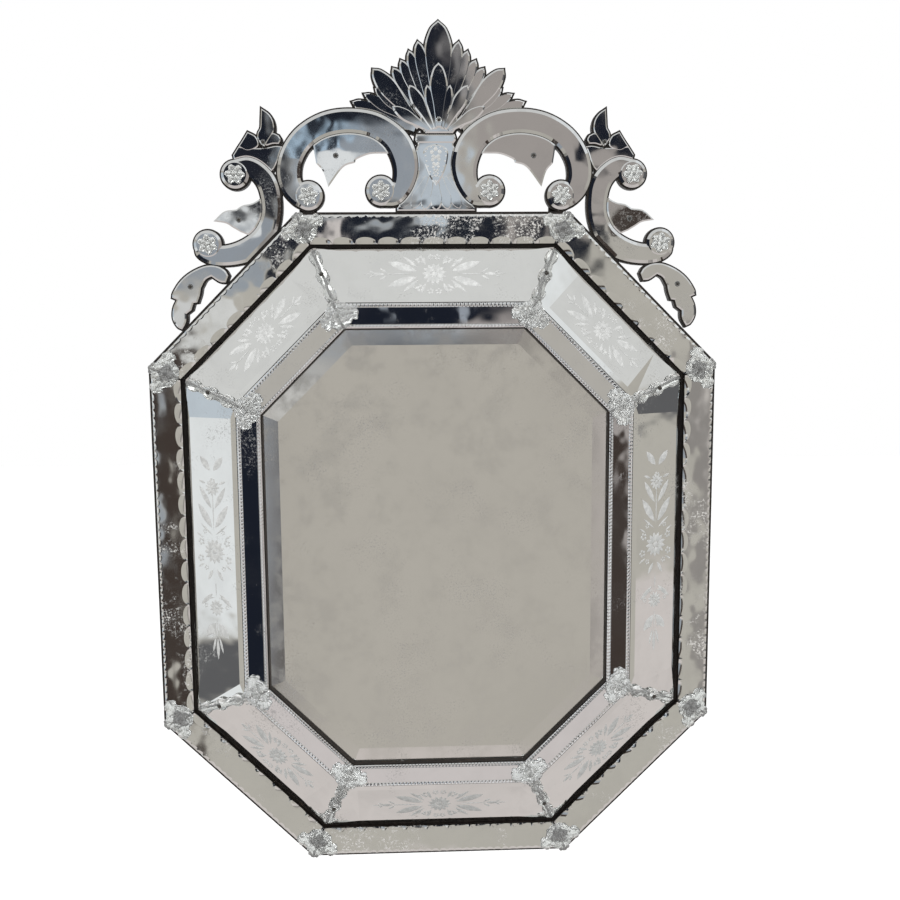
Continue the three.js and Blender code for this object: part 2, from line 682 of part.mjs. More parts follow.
function crestPiece(name, bodies, cutters) {
  const solid = without(join(bodies), [frameOutline(), ...cutters], pieceGap);
  return piece(name, fromSolid(solid), silvered);
}

const crestPlate = (outline, bevel) => plate(outline, crestBack, crestFace, bevel, bevelDrop);

function scrollPiece(name, scroll, side, cutters) {
  const plates = scrollOutlines(scroll, side).map((outline) => crestPlate(outline, scrollBevel));
  return crestPiece(name, plates, cutters);
}

function leafPiece(name, points, side, cutters) {
  const outline = wound(mirrored(scaled(polygon(points)), side));
  return crestPiece(name, [crestPlate(outline, leafBevel)], cutters);
}

// The carved glass is drawn to the crest's scale, and so is its bevel
const carvedBevel = leafBevel * crestScale;
const carved = (outline, thickness) => plate(outline, crestBack, crestBack + thickness, carvedBevel, bevelDrop);

function palmettePiece(cutters) {
  const petals = palmetteOutlines.map(({ outline, thickness }) => carved(outline, thickness));
  return crestPiece("palmette", [carved(heart, heartThickness), ...petals], cutters);
}

function vasePiece(cutters) {
  const middle = (vaseFlutes.length - 1) / 2;
  const fluteHeight = (i) => fluteThickness - fluteFall * Math.abs(i - middle);
  const flutes = vaseFlutes.map((outline, i) => carved(outline, fluteHeight(i)));
  const front = carved(wound(scaled(moved(polygon(shield), vaseShift))), shieldThickness);
  return crestPiece("vase", [carved(vaseOutline, vaseThickness), front, ...flutes], cutters);
}

// The battens: their side of the octagon, their place along it, and their size
const middleBatten = { index: 0, width: middleBattenWidth, rise: middleBattenRise };
const railBatten = { index: 0, width: railBattenWidth, rise: railBattenRise };
const chamferBatten = { width: chamferBattenWidth, rise: chamferBattenRise };
const battens = [
  { ...middleBatten, along: -middleBattenPlace },
  { ...middleBatten, along: middleBattenPlace },
  { ...railBatten, along: -railBattenPlace },
  { ...railBatten, along: railBattenPlace },
  { ...chamferBatten, index: 1, along: -chamferBattenPlace },
  { ...chamferBatten, index: sideCount - 1, along: chamferBattenPlace },
];

function battenBody({ index, along, width, rise }, room) {
  const half = width / 2 + room;
  const middle = along * crestScale;
  const box = block(middle - half, middle + half, -battenReach - room, rise * crestScale,
    room > 0 ? -beyond : 0, battenThickness + room);
  const { group } = sides[index];
  group.updateMatrix();
  box.applyMatrix4(group.matrix);
  return toSolid(box);
}

function crestBoard(outlines) {
  const front = rimThickness;
  const back = rimThickness - crestBoardThickness;
  const boards = outlines.map((outline) => plate(grown(outline, boardMargin), back, front));
  boardJoints.flatMap(([x, y]) => [[x, y], [-x, y]]).forEach(([x, y]) =>
    boards.push(plate(scaled(round(x, y, jointRadius, jointSides)), back, front)));
  const board = without(join(boards), [frameOutline()], clearance);
  const carried = battens.map((batten) => battenBody(batten, 0).translate([-crestShift, 0, -halfHeight]));
  return piece("crest_board", fromSolid(carried.reduce((whole, batten) => whole.add(batten), board)), blackWood);
}

function crest() {
  const group = new THREE.Group();
  group.position.set(crestShift, 0, halfHeight);
  const farPetals = palmetteOutlines.filter(({ near }) => !near);
  const outlines = [heart, vaseOutline, ...farPetals.map(({ outline }) => outline)];
  const bigOnes = [1, -1].flatMap((side) => scrollOutlines(bigScroll, side));
  group.add(palmettePiece([...bigOnes, wound(scaled(polygon(vaseNeck)))]), vasePiece(bigOnes));
  [["right", 1], ["left", -1]].forEach(([name, side]) => {
    const big = scrollOutlines(bigScroll, side);
    const small = scrollOutlines(smallScroll, side);
    group.add(
      scrollPiece(`big_scroll_${name}`, bigScroll, side, []),
      scrollPiece(`small_scroll_${name}`, smallScroll, side, big),
      leafPiece(`big_leaf_${name}`, bigLeaf, side, big),
      leafPiece(`small_leaf_${name}`, smallLeaf, side, small),
      leafPiece(`finial_${name}`, finial, side, [...small, ...big]),
      leafPiece(`drooping_leaf_${name}`, droopingLeaf, side, small),
    );
    outlines.push(...big, ...small);
    [bigLeafBacking, smallLeafBacking, finial, droopingLeaf].forEach((points) =>
      outlines.push(wound(mirrored(scaled(polygon(points)), side))));
  });
  group.add(crestBoard(outlines));
  return group;
}

// The hanging plates, let into the top rail's back

function hangingPlate(name, side) {
  const outline = new THREE.Shape([[-1, -1], [1, -1], [1, 1], [-1, 1]].map(([x, y]) =>
    flat((x * hangerLength) / 2, (y * hangerWidth) / 2)));
  const keyhole = new THREE.Path();
  const throat = Math.asin(keyholeSlot / keyholeRadius);
  const low = -keyholeRise / 2;
  keyhole.absarc(0, low, keyholeRadius, Math.PI / 2 + throat, Math.PI / 2 - throat + 2 * Math.PI, false);
  keyhole.absarc(0, low + keyholeRise - keyholeSlot, keyholeSlot, 0, Math.PI, false);
  outline.holes.push(keyhole);
  const geometry = new THREE.ExtrudeGeometry(outline, {
    depth: hangerThickness,
    bevelEnabled: false,
    curveSegments: keyholeSteps,
  });
  geometry.rotateX(Math.PI / 2);
  geometry.translate(side * hangerReach, 0, halfHeight - mountInset);
  return piece(name, mergeVertices(stripped(geometry), mergeDistance), steel);
}

const mirror = new THREE.Group();
mirror.position.z = middleHeight;
mirror.add(carcass(), middlePlate(), backboard(), ...sides.map(facings), crest());
corners.forEach((group, index) => {
  group.add(
    piece(`corner_flower_${index + 1}`, cornerFlower(), clearGlass),
    piece(`mitre_ornament_${index + 1}`, mitreOrnament(), clearGlass),
  );
  mirror.add(group);
});
mirror.add(hangingPlate("hanging_plate_left", -1), hangingPlate("hanging_plate_right", 1));
const part = new THREE.Group();
part.add(mirror);

export default part;
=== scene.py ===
"""The looks of an eight-sided Venetian wall mirror with a pierced crest of cut mirror glass."""
import math

import bmesh
import bpy
from mathutils import Matrix, Vector


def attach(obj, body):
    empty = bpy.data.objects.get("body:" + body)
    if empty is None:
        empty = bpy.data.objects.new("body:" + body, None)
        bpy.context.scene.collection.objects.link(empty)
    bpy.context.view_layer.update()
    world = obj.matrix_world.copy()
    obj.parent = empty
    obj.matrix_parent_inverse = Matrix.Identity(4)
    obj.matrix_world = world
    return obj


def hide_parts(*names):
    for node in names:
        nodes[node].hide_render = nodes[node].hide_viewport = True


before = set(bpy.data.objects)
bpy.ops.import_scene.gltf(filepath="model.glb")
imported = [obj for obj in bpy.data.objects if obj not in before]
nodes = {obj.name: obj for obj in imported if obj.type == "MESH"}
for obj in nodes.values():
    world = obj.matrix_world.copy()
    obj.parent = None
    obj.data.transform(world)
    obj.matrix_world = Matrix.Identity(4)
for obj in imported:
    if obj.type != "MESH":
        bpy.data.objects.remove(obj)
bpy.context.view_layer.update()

# Sizes in millimetres, as on the solids
MM = 0.001
HALF_WIDTH = 430.0
HALF_HEIGHT = 506.0
CORNER_CUT = 226.0
RAIL_HALF = HALF_WIDTH - CORNER_CUT
STILE_HALF = HALF_HEIGHT - CORNER_CUT
TOP_EDGE = 23.5
MIDDLE = TOP_EDGE - HALF_HEIGHT
TURN = math.radians(45)
MITRE = math.tan(TURN / 2)
STRETCH = 1 / math.cos(TURN / 2)
MITRE_GAP = 1.2

STRIP = (4.0, 47.0)
STRIP_BACK = 20.3
STRIP_FACE = 24.3
PANEL = (51.0, 133.0)
PANEL_DEPTH = (18.0, 61.0)
INNER = (134.5, 171.0)
INNER_DEPTH = (62.5, 68.0)
INNER_GLASS = 3.0
BOARD = (8.0, 20.0)
PIECE_GAP = 0.8
SHORTEST_EDGE = 0.4

# Placing. A side's frame runs clockwise along x, outwards along y and forwards along z.
FLAT = Matrix(((1, 0, 0, 0), (0, 0, -1, 0), (0, 1, 0, 0), (0, 0, 0, 1)))
TO_METRES = Matrix.Scale(MM, 4)


def corner(index, inset):
    across = (RAIL_HALF - inset * MITRE, HALF_WIDTH - inset)
    up = (HALF_HEIGHT - inset, STILE_HALF - inset * MITRE)
    steep = 0 if index % 4 in (0, 3) else 1
    right = 1 if index < 4 else -1
    high = 1 if index < 2 or index > 5 else -1
    return Vector((right * across[steep], 0, high * up[steep]))


def side_place(index):
    before, after = corner((index + 7) % 8, 0), corner(index, 0)
    middle = (before + after) / 2 + Vector((0, 0, MIDDLE))
    return TO_METRES @ Matrix.Translation(middle) @ Matrix.Rotation(index * TURN, 4, "Y") @ FLAT


def side_half(index):
    return (corner((index + 7) % 8, 0) - corner(index, 0)).length / 2


def corner_place(index):
    at = corner(index, 0) + Vector((0, 0, MIDDLE))
    return TO_METRES @ Matrix.Translation(at) @ Matrix.Rotation((index + 0.5) * TURN, 4, "Y") @ FLAT


def sloped(inset, depth, run, rise):
    """A frame on a face that rises inwards, with y outwards along the face and z off it."""
    slope = math.atan2(rise, run)
    return Matrix.Translation((0, -inset, depth)) @ Matrix.Rotation(-slope, 4, "X")


CREST_SHIFT = 3.0
CREST = TO_METRES @ Matrix.Translation((CREST_SHIFT, 0, TOP_EDGE)) @ FLAT


# Pieces

def add_piece(name, mesh, look, stands_for=(), smooth=0):
    piece = bpy.data.objects.new(name, mesh)
    bpy.context.scene.collection.objects.link(piece)
    mesh.materials.clear()
    mesh.materials.append(look)
    if smooth:
        mesh.shade_smooth()
        if smooth < 180:
            mesh.set_sharp_from_angle(angle=math.radians(smooth))
    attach(piece, "root")
    if stands_for:
        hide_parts(*stands_for)
    return piece


def to_mesh(name, bm, place):
    bmesh.ops.transform(bm, matrix=place, verts=bm.verts)
    bmesh.ops.remove_doubles(bm, verts=bm.verts, dist=1e-6)
    bmesh.ops.recalc_face_normals(bm, faces=bm.faces)
    mesh = bpy.data.meshes.new(name)
    bm.to_mesh(mesh)
    bm.free()
    return mesh


def draft(bm):
    """A working object in millimetres, for the modifiers that join and cut."""
    piece = bpy.data.objects.new("draft", to_mesh("draft", bm, Matrix.Identity(4)))
    bpy.context.scene.collection.objects.link(piece)
    return piece


def settled(piece):
    """The draft's mesh with its modifiers applied, as a bmesh. The draft is removed."""
    made = piece.evaluated_get(bpy.context.evaluated_depsgraph_get())
    bm = bmesh.new()
    bm.from_mesh(made.to_mesh())
    made.to_mesh_clear()
    bpy.data.objects.remove(piece)
    return bm


def combined(first, others, operation):
    """Joins others to a bmesh, or takes them off it."""
    target = draft(first)
    group = bpy.data.collections.new("others")
    bpy.context.scene.collection.children.link(group)
    drafts = [draft(other) for other in others]
    for other in drafts:
        bpy.context.scene.collection.objects.unlink(other)
        group.objects.link(other)
    step = target.modifiers.new("step", "BOOLEAN")
    step.operation = operation
    step.solver = "EXACT"
    step.operand_type = "COLLECTION"
    step.collection = group
    bpy.context.view_layer.update()
    bm = settled(target)
    for other in drafts:
        bpy.data.objects.remove(other)
    bpy.data.collections.remove(group)
    return bm


def melted(bm, voxel, smoothing):
    """Moulds overlapping bodies into one, with soft joints."""
    piece = draft(bm)
    remesh = piece.modifiers.new("melt", "REMESH")
    remesh.mode = "VOXEL"
    remesh.voxel_size = voxel
    soften = piece.modifiers.new("soften", "SMOOTH")
    soften.factor = 0.5
    soften.iterations = smoothing
    bpy.context.view_layer.update()
    return settled(piece)


# Outlines

def run_through(points, steps):
    """A smooth open line through points."""
    points = [Vector(point) for point in points]
    padded = [2 * points[0] - points[1], *points, 2 * points[-1] - points[-2]]
    line = []
    for a, b, c, d in zip(padded, padded[1:], padded[2:], padded[3:]):
        for i in range(steps):
            t = i / steps
            line.append(0.5 * (2 * b + (c - a) * t + (2 * a - 5 * b + 4 * c - d) * t * t
                               + (3 * b - a - 3 * c + d) * t ** 3))
    return [*line, points[-1]]


def leaf_outline(points, sharp, steps=5):
    """A closed outline that is smooth but for its sharp points, given by their numbers."""
    turned = points[sharp[0]:] + points[:sharp[0]]
    stops = [(s - sharp[0]) % len(points) for s in sharp] + [len(points)]
    turned = turned + [turned[0]]
    outline = []
    for start, stop in zip(stops, stops[1:]):
        outline += run_through(turned[start:stop + 1], steps if stop > start + 1 else 2)[:-1]
    return outline


def disc(x, y, radius, steps=48):
    turns = [2 * math.pi * i / steps for i in range(steps)]
    return [Vector((x + radius * math.cos(turn), y + radius * math.sin(turn))) for turn in turns]


def sided(outline, side):
    return outline if side > 0 else [Vector((-x, y)) for x, y in reversed(outline)]


def moved(outline, across):
    return [Vector((x + across, y)) for x, y in outline]


def grown(outline, distance):
    area = sum(a.x * b.y - b.x * a.y for a, b in zip(outline, outline[1:] + outline[:1]))
    result = []
    for i, point in enumerate(outline):
        before = (point - outline[i - 1]).normalized()
        after = (outline[(i + 1) % len(outline)] - point).normalized()
        push = Vector((before.y + after.y, -before.x - after.x)) / max(1 + before.dot(after), 0.5)
        result.append(point + push * math.copysign(distance, distance * area))
    return result


def slab(outline, back, front):
    """A flat body with square edges."""
    bm = bmesh.new()
    face = bm.faces.new([bm.verts.new((x, y, back)) for x, y in outline])
    raised = bmesh.ops.extrude_face_region(bm, geom=[face])["geom"]
    lifted = [part for part in raised if isinstance(part, bmesh.types.BMVert)]
    bmesh.ops.translate(bm, verts=lifted, vec=(0, 0, front - back))
    bmesh.ops.recalc_face_normals(bm, faces=bm.faces)
    return bm


def front_faces(bm, front):
    return [face for face in bm.faces
            if face.normal.z > 0.99 and abs(face.calc_center_median().z - front) < 0.01]


def crossed_edge(face, level):
    """The upper edge of a bevel's face, where a bevel wider than the outline's bend turns it back."""
    verts = list(face.verts)
    if len(verts) != 4:
        return None
    for k in range(4):
        a, b, c, d = verts[k:] + verts[:k]
        if max(a.co.z, b.co.z) < level < min(c.co.z, d.co.z):
            if (b.co - a.co).dot(c.co - d.co) >= 0:
                return None
            return next(edge for edge in face.edges if c in edge.verts and d in edge.verts)
    return None


def bevelled(bm, front, bevel, drop):
    """Raises the front of a flat body, leaving a sloping bevel round it."""
    bmesh.ops.remove_doubles(bm, verts=bm.verts, dist=SHORTEST_EDGE)
    bm.normal_update()
    bmesh.ops.dissolve_faces(bm, faces=front_faces(bm, front), use_verts=False)
    ring = bmesh.ops.inset_region(bm, faces=front_faces(bm, front), thickness=bevel, depth=drop,
                                  use_boundary=True, use_even_offset=True)["faces"]
    for _ in range(8):
        found = [crossed_edge(face, front + drop / 2) for face in ring if face.is_valid]
        crossed = [edge for edge in found if edge]
        if not crossed:
            break
        bmesh.ops.collapse(bm, edges=crossed)
    return bm


# Materials

def new_look(name):
    look = bpy.data.materials.new(name)
    look.use_nodes = True
    return look, look.node_tree, look.node_tree.nodes["Principled BSDF"]


def place(tree, kind, links=(), **values):
    """A node with its values set and its inputs linked."""
    made = tree.nodes.new(kind)
    for key, value in values.items():
        if key in made.inputs:
            made.inputs[key].default_value = value
        else:
            setattr(made, key, value)
    for key, source in dict(links).items():
        tree.links.new(source, made.inputs[key])
    return made


def speckle(tree, scale, detail=3.0, roughness=0.5, stretch=(1, 1, 1), offset=(0, 0, 0)):
    where = place(tree, "ShaderNodeTexCoord")
    spot = place(tree, "ShaderNodeMapping", {"Vector": where.outputs["Object"]}, Scale=stretch,
                 Location=offset)
    return place(tree, "ShaderNodeTexNoise", {"Vector": spot.outputs[0]}, Scale=scale, Detail=detail,
                 Roughness=roughness).outputs["Fac"]


def between(tree, value, low, high, to_low=0.0, to_high=1.0):
    made = place(tree, "ShaderNodeMapRange", {"Value": value}, interpolation_type="SMOOTHSTEP")
    for key, number in (("From Min", low), ("From Max", high), ("To Min", to_low), ("To Max", to_high)):
        made.inputs[key].default_value = number
    return made.outputs["Result"]


def maths(tree, operation, a, b):
    made = tree.nodes.new("ShaderNodeMath")
    made.operation = operation
    for socket, value in zip(made.inputs, (a, b)):
        if isinstance(value, (int, float)):
            socket.default_value = value
        else:
            tree.links.new(value, socket)
    return made.outputs[0]


def blended(tree, factor, a, b):
    """Mixes two colours, each a value or an output."""
    made = place(tree, "ShaderNodeMix", data_type="RGBA")
    tree.links.new(factor, made.inputs["Factor"])
    for key, value in ((6, a), (7, b)):
        if isinstance(value, tuple):
            made.inputs[key].default_value = (*value, 1)
        else:
            tree.links.new(value, made.inputs[key])
    return made.outputs[2]


def bumped(tree, shader, height, strength, distance):
    made = place(tree, "ShaderNodeBump", {"Height": height}, Strength=strength, Distance=distance)
    tree.links.new(made.outputs[0], shader.inputs["Normal"])


def silvered(name, tone=(0.86, 0.87, 0.86), foxed=0.5, haze=0.03, waves=0.15, spread=(0.52, 0.68),
             worn_tone=(0.12, 0.10, 0.085)):
    """Old mirror glass: a slightly wavy face and silvering that is clouded and spotted with age."""
    look, tree, shader = new_look(name)
    spots = between(tree, speckle(tree, 300, 4, 0.6), 0.52, 0.62)
    fine = between(tree, speckle(tree, 1100, 2), 0.60, 0.70)
    clouds = between(tree, speckle(tree, 11, 5, 0.65), *spread)
    pits = maths(tree, "MAXIMUM", spots, fine)
    worn = maths(tree, "MULTIPLY", pits, maths(tree, "MULTIPLY", clouds, foxed))
    veil = between(tree, speckle(tree, 26, 5, 0.6, offset=(3, 1, 2)), 0.35, 0.75)
    clean = blended(tree, veil, tone, tuple(0.96 * channel for channel in tone))
    tree.links.new(blended(tree, worn, clean, worn_tone), shader.inputs["Base Color"])
    tree.links.new(maths(tree, "SUBTRACT", 1.0, worn), shader.inputs["Metallic"])
    hazy = between(tree, veil, 0, 1, haze, haze * 2.2)
    rough = maths(tree, "ADD", hazy, maths(tree, "MULTIPLY", worn, 0.4))
    tree.links.new(rough, shader.inputs["Roughness"])
    bumped(tree, shader, speckle(tree, 14, 2, 0.4, offset=(5, 2, 7)), waves, 0.004)
    return look


def clear_look():
    look, tree, shader = new_look("moulded_clear_glass")
    shader.inputs["Base Color"].default_value = (0.95, 0.96, 0.95, 1)
    shader.inputs["Transmission Weight"].default_value = 0.82
    shader.inputs["IOR"].default_value = 1.5
    dust = speckle(tree, 160, 4, 0.6)
    tree.links.new(between(tree, dust, 0.45, 0.8, 0.02, 0.12), shader.inputs["Roughness"])
    bumped(tree, shader, speckle(tree, 220, 3, 0.5), 0.12, 0.0006)
    return look


def frosted_look():
    look, tree, shader = new_look("wheel_engraved_frost")
    grain = speckle(tree, 1500, 2, 0.6)
    cuts = speckle(tree, 150, 4, 0.6)
    tone = blended(tree, between(tree, cuts, 0.35, 0.7), (0.56, 0.57, 0.56), (0.74, 0.75, 0.74))
    tone = blended(tree, between(tree, grain, 0.5, 0.7), tone, (0.46, 0.46, 0.45))
    tree.links.new(tone, shader.inputs["Base Color"])
    tree.links.new(between(tree, grain, 0.3, 0.7, 0.45, 0.65), shader.inputs["Roughness"])
    bumped(tree, shader, grain, 0.5, 0.0003)
    return look


def wood_look(name, dark, light, sheen, bare_back=False):
    look, tree, shader = new_look(name)
    grain = speckle(tree, 60, 6, 0.65, stretch=(3.0, 3.0, 0.35))
    pores = speckle(tree, 900, 3, 0.6, stretch=(1, 1, 0.12))
    rubbed = between(tree, speckle(tree, 42, 6, 0.7, offset=(1, 4, 2)), 0.58, 0.72)
    tone = blended(tree, between(tree, grain, 0.35, 0.7), dark, light)
    deep = tuple(0.4 * channel for channel in dark)
    tone = blended(tree, between(tree, pores, 0.55, 0.75, 0, 0.5), tone, deep)
    if bare_back:
        aged = blended(tree, between(tree, grain, 0.3, 0.7), (0.20, 0.13, 0.075), (0.36, 0.25, 0.15))
        normal = place(tree, "ShaderNodeNewGeometry").outputs["Normal"]
        facing = place(tree, "ShaderNodeSeparateXYZ", {0: normal})
        tone = blended(tree, maths(tree, "MULTIPLY", rubbed, 0.35), tone, (0.10, 0.062, 0.038))
        tone = blended(tree, between(tree, facing.outputs["Y"], 0.2, 0.5), tone, aged)
    tree.links.new(tone, shader.inputs["Base Color"])
    tree.links.new(between(tree, grain, 0.3, 0.7, sheen, sheen + 0.22), shader.inputs["Roughness"])
    bumped(tree, shader, maths(tree, "ADD", grain, pores), 0.35, 0.0012)
    return look


PLANK_START, PLANKS_PER_METRE = 2.03, 9.2


def plank_look():
    """The backboard: upright planks with dark joints, rough sawn and stained."""
    look, tree, shader = new_look("sawn_pine_planks")
    where = place(tree, "ShaderNodeTexCoord")
    parts = place(tree, "ShaderNodeSeparateXYZ", {0: where.outputs["Object"]})
    across = maths(tree, "ADD", parts.outputs["X"], PLANK_START)
    board = maths(tree, "FRACT", maths(tree, "MULTIPLY", across, PLANKS_PER_METRE), 0)
    joint = maths(tree, "MAXIMUM", between(tree, board, 0.0, 0.018, 1, 0), between(tree, board, 0.982, 1.0))
    grain = speckle(tree, 70, 6, 0.7, stretch=(3.2, 1, 0.22))
    stain = speckle(tree, 7, 4, 0.6)
    tone = blended(tree, between(tree, grain, 0.3, 0.72), (0.17, 0.105, 0.058), (0.38, 0.26, 0.155))
    tone = blended(tree, between(tree, stain, 0.45, 0.75, 0, 0.55), tone, (0.12, 0.08, 0.05))
    tone = blended(tree, joint, tone, (0.015, 0.01, 0.008))
    tree.links.new(tone, shader.inputs["Base Color"])
    tree.links.new(between(tree, grain, 0.3, 0.7, 0.7, 0.9), shader.inputs["Roughness"])
    bumped(tree, shader, maths(tree, "SUBTRACT", grain, joint), 0.5, 0.0015)
    return look


def steel_look(name, tone, rough):
    look, tree, shader = new_look(name)
    shader.inputs["Metallic"].default_value = 1
    dulled = speckle(tree, 300, 5, 0.65)
    spots = between(tree, speckle(tree, 120, 4, 0.7, offset=(2, 2, 1)), 0.55, 0.7)
    base = blended(tree, between(tree, dulled, 0.35, 0.7), tone, tuple(0.6 * channel for channel in tone))
    tree.links.new(blended(tree, maths(tree, "MULTIPLY", spots, 0.5), base, (0.10, 0.06, 0.035)),
                   shader.inputs["Base Color"])
    tree.links.new(between(tree, dulled, 0.3, 0.7, rough, rough + 0.25), shader.inputs["Roughness"])
    bumped(tree, shader, dulled, 0.2, 0.0003)
    return look


plate_glass = silvered("old_plate_glass", tone=(0.84, 0.835, 0.82), foxed=0.4, haze=0.1, waves=0.05,
                       spread=(0.5, 0.8))
panel_glass = silvered("panel_glass", foxed=0.35, haze=0.03, waves=0.25)
strip_glass = silvered("strip_glass", foxed=0.85, haze=0.035, waves=0.3, spread=(0.5, 0.62),
                       worn_tone=(0.74, 0.72, 0.69))
crest_glass = silvered("crest_glass", tone=(0.80, 0.81, 0.81), foxed=0.2, haze=0.03, waves=0.2)
clear_glass = clear_look()
frost = frosted_look()
black_wood = wood_look("blackened_wood", (0.010, 0.008, 0.007), (0.032, 0.024, 0.019), 0.42, bare_back=True)
pine = plank_look()
steel = steel_look("dulled_steel", (0.50, 0.49, 0.47), 0.35)
pin_metal = steel_look("pin_metal", (0.15, 0.145, 0.135), 0.3)


def finish_node(name, look):
    piece = nodes[name]
    piece.data.materials.clear()
    piece.data.materials.append(look)


finish_node("carcass", black_wood)
finish_node("backboard", pine)
finish_node("middle_mirror", plate_glass)
for number in range(1, 9):
    finish_node(f"engraved_panel_{number}", panel_glass)
for hand in ("left", "right"):
    finish_node(f"hanging_plate_{hand}", steel)


# The outer strips: a flat face between two rows of ground thumb cuts, each with its pitch, depth and fall

OUTER_CUTS = (12, 4.2, 1.5)
INNER_CUTS = (36, 9.5, 2.2)
LEAST_CUT = 0.8
STEPS_PER_CUT = 12


def cut_strip(index):
    half = side_half(index)
    width = STRIP[1] - STRIP[0]
    length = 2 * (half - sum(STRIP) / 2 * MITRE)
    rows = [0, 0.35, 0.7, 1]
    bm = bmesh.new()
    steps = max(round(length / INNER_CUTS[0]), 2) * STEPS_PER_CUT
    bmesh.ops.create_grid(bm, x_segments=steps, y_segments=2 * len(rows) - 1, size=1)
    for v in bm.verts:
        row = round((v.co.y + 1) / 2 * (2 * len(rows) - 1))
        outer = row < len(rows)
        pitch, deep, fall = OUTER_CUTS if outer else INNER_CUTS
        cuts = max(round(length / pitch), 2)
        place_in_cut = ((v.co.x + 1) / 2 * cuts) % 1
        wide = LEAST_CUT + deep * math.sqrt(max(1 - (2 * place_in_cut - 1) ** 2, 0))
        share = rows[row if outer else 2 * len(rows) - 1 - row]
        inset = STRIP[0] + wide * share if outer else STRIP[1] - wide * share
        depth = STRIP_FACE - fall * wide / (deep + LEAST_CUT) * (1 - share) ** 1.5
        v.co = (v.co.x * (half - inset * MITRE - MITRE_GAP), -inset, depth)
    raised = bmesh.ops.extrude_face_region(bm, geom=bm.faces[:])["geom"]
    for v in raised:
        if isinstance(v, bmesh.types.BMVert):
            v.co.z = STRIP_BACK
    mesh = to_mesh(f"cut_strip_{index + 1}", bm, side_place(index))
    return add_piece(mesh.name, mesh, strip_glass, [f"outer_strip_{index + 1}"], smooth=4)


# The inner strips: a dark flat face between two rows of slanting teeth

TOOTH_RELIEF = 1.15
TOOTH_PITCH = 5.4
TOOTH_SLANT = 0.08


def toothed_strip(index):
    half = side_half(index)
    run, rise = INNER[1] - INNER[0], INNER_DEPTH[1] - INNER_DEPTH[0]
    slope = math.atan2(rise, run)
    width = math.hypot(run, rise)
    far_rows = [width - step for step in (5.7, 5.4, 4.4, 2.6, 1.1, 0)]
    rows = [0, 1.2, 3.2, 5.2, 6.4, 6.7, *far_rows]
    lifts = [-1.5, -0.3, 0.5, 0.1, -0.8, 0.0, 0.0, -0.8, 0.1, 0.5, -0.3, -1.5]
    ribbed = [0.2, 0.8, 1.0, 0.8, 0.1, 0, 0, 0.1, 0.8, 1.0, 0.8, 0.2]
    middle = len(rows) / 2
    length = 2 * (half - (INNER[0] + run / 2) * MITRE)
    teeth = round(length / TOOTH_PITCH)
    steps = teeth * 4
    bm = bmesh.new()
    bmesh.ops.create_grid(bm, x_segments=steps, y_segments=len(rows) - 1, size=1)
    for v in bm.verts:
        row = round((v.co.y + 1) / 2 * (len(rows) - 1))
        along = rows[row]
        slant = TOOTH_SLANT * (along if row < middle else width - along)
        wave = math.cos(2 * math.pi * ((v.co.x + 1) / 2 * teeth + slant))
        height = lifts[row] + TOOTH_RELIEF * ribbed[row] * wave
        inset = INNER[0] + along * math.cos(slope) - height * math.sin(slope)
        depth = INNER_DEPTH[0] + along * math.sin(slope) + height * math.cos(slope)
        v.co = (v.co.x * (half - inset * MITRE - MITRE_GAP), -inset, depth)
    raised = bmesh.ops.extrude_face_region(bm, geom=bm.faces[:])["geom"]
    back = Vector((0, -math.sin(slope), -math.cos(slope))) * INNER_GLASS
    origin = Vector((0, -INNER[0], INNER_DEPTH[0])) + back
    normal = back.normalized()
    for v in raised:
        if isinstance(v, bmesh.types.BMVert):
            v.co += normal * (origin - v.co).dot(normal)
    mesh = to_mesh(f"toothed_strip_{index + 1}", bm, side_place(index))
    return add_piece(mesh.name, mesh, inner_glass, [f"inner_strip_{index + 1}"], smooth=12)


inner_glass = silvered("inner_strip_glass", tone=(0.84, 0.85, 0.86), foxed=0.3, haze=0.02, waves=0.2)
for index in range(8):
    cut_strip(index)
    toothed_strip(index)


# The engraving: matt leaves, blooms and dots cut into the panels

def engraved_leaf(bm, x, y, angle, length, width, fold=0.12):
    """A pointed leaf that springs from a point, with a ridge along its middle."""
    made = bmesh.ops.create_cone(bm, cap_ends=True, cap_tris=False, segments=12, radius1=1, radius2=0.72,
                                 depth=0.3)
    verts = made["verts"]
    for v in verts:
        rim = math.hypot(v.co.x, v.co.y)
        share = v.co.y / rim
        inner = rim < 0.9
        v.co.x *= math.sqrt(max(1 - share * share, 0)) * width / 2
        v.co.y = (share * (0.86 if inner else 1) + 1) * length / 2
        v.co.z += 0.15
    faces = dict.fromkeys(face for v in verts for face in v.link_faces)
    top = [face for face in faces if len(face.verts) > 4 and face.normal.z > 0]
    bmesh.ops.poke(bm, faces=top, offset=fold)
    turned = Matrix.Translation((x, y, 0)) @ Matrix.Rotation(math.radians(angle) - math.pi / 2, 4, "Z")
    faces = dict.fromkeys(face for v in verts for face in v.link_faces)
    bmesh.ops.transform(bm, matrix=turned, verts=list(dict.fromkeys(v for face in faces for v in face.verts)))


def engraved_dot(bm, x, y, radius):
    bmesh.ops.create_cone(bm, cap_ends=True, segments=9, radius1=radius, radius2=radius * 0.6, depth=0.34,
                          matrix=Matrix.Translation((x, y, 0.17)))


def bloom(bm, x, y, radius, petals, start=0.0):
    for count, reach in ((petals + 5, 1.0), (petals, 0.6)):
        for i in range(count):
            angle = start + 360 * i / count
            near = Vector((math.cos(math.radians(angle)), math.sin(math.radians(angle)))) * radius * 0.24
            engraved_leaf(bm, x + near.x, y + near.y, angle, radius * 0.78 * reach, radius * 0.34, fold=0.2)
    engraved_dot(bm, x, y, radius * 0.24)


def floret(bm, x, y, radius):
    for i in range(5):
        angle = math.radians(20 + 72 * i)
        engraved_dot(bm, x + radius * math.cos(angle), y + radius * math.sin(angle), radius * 0.52)


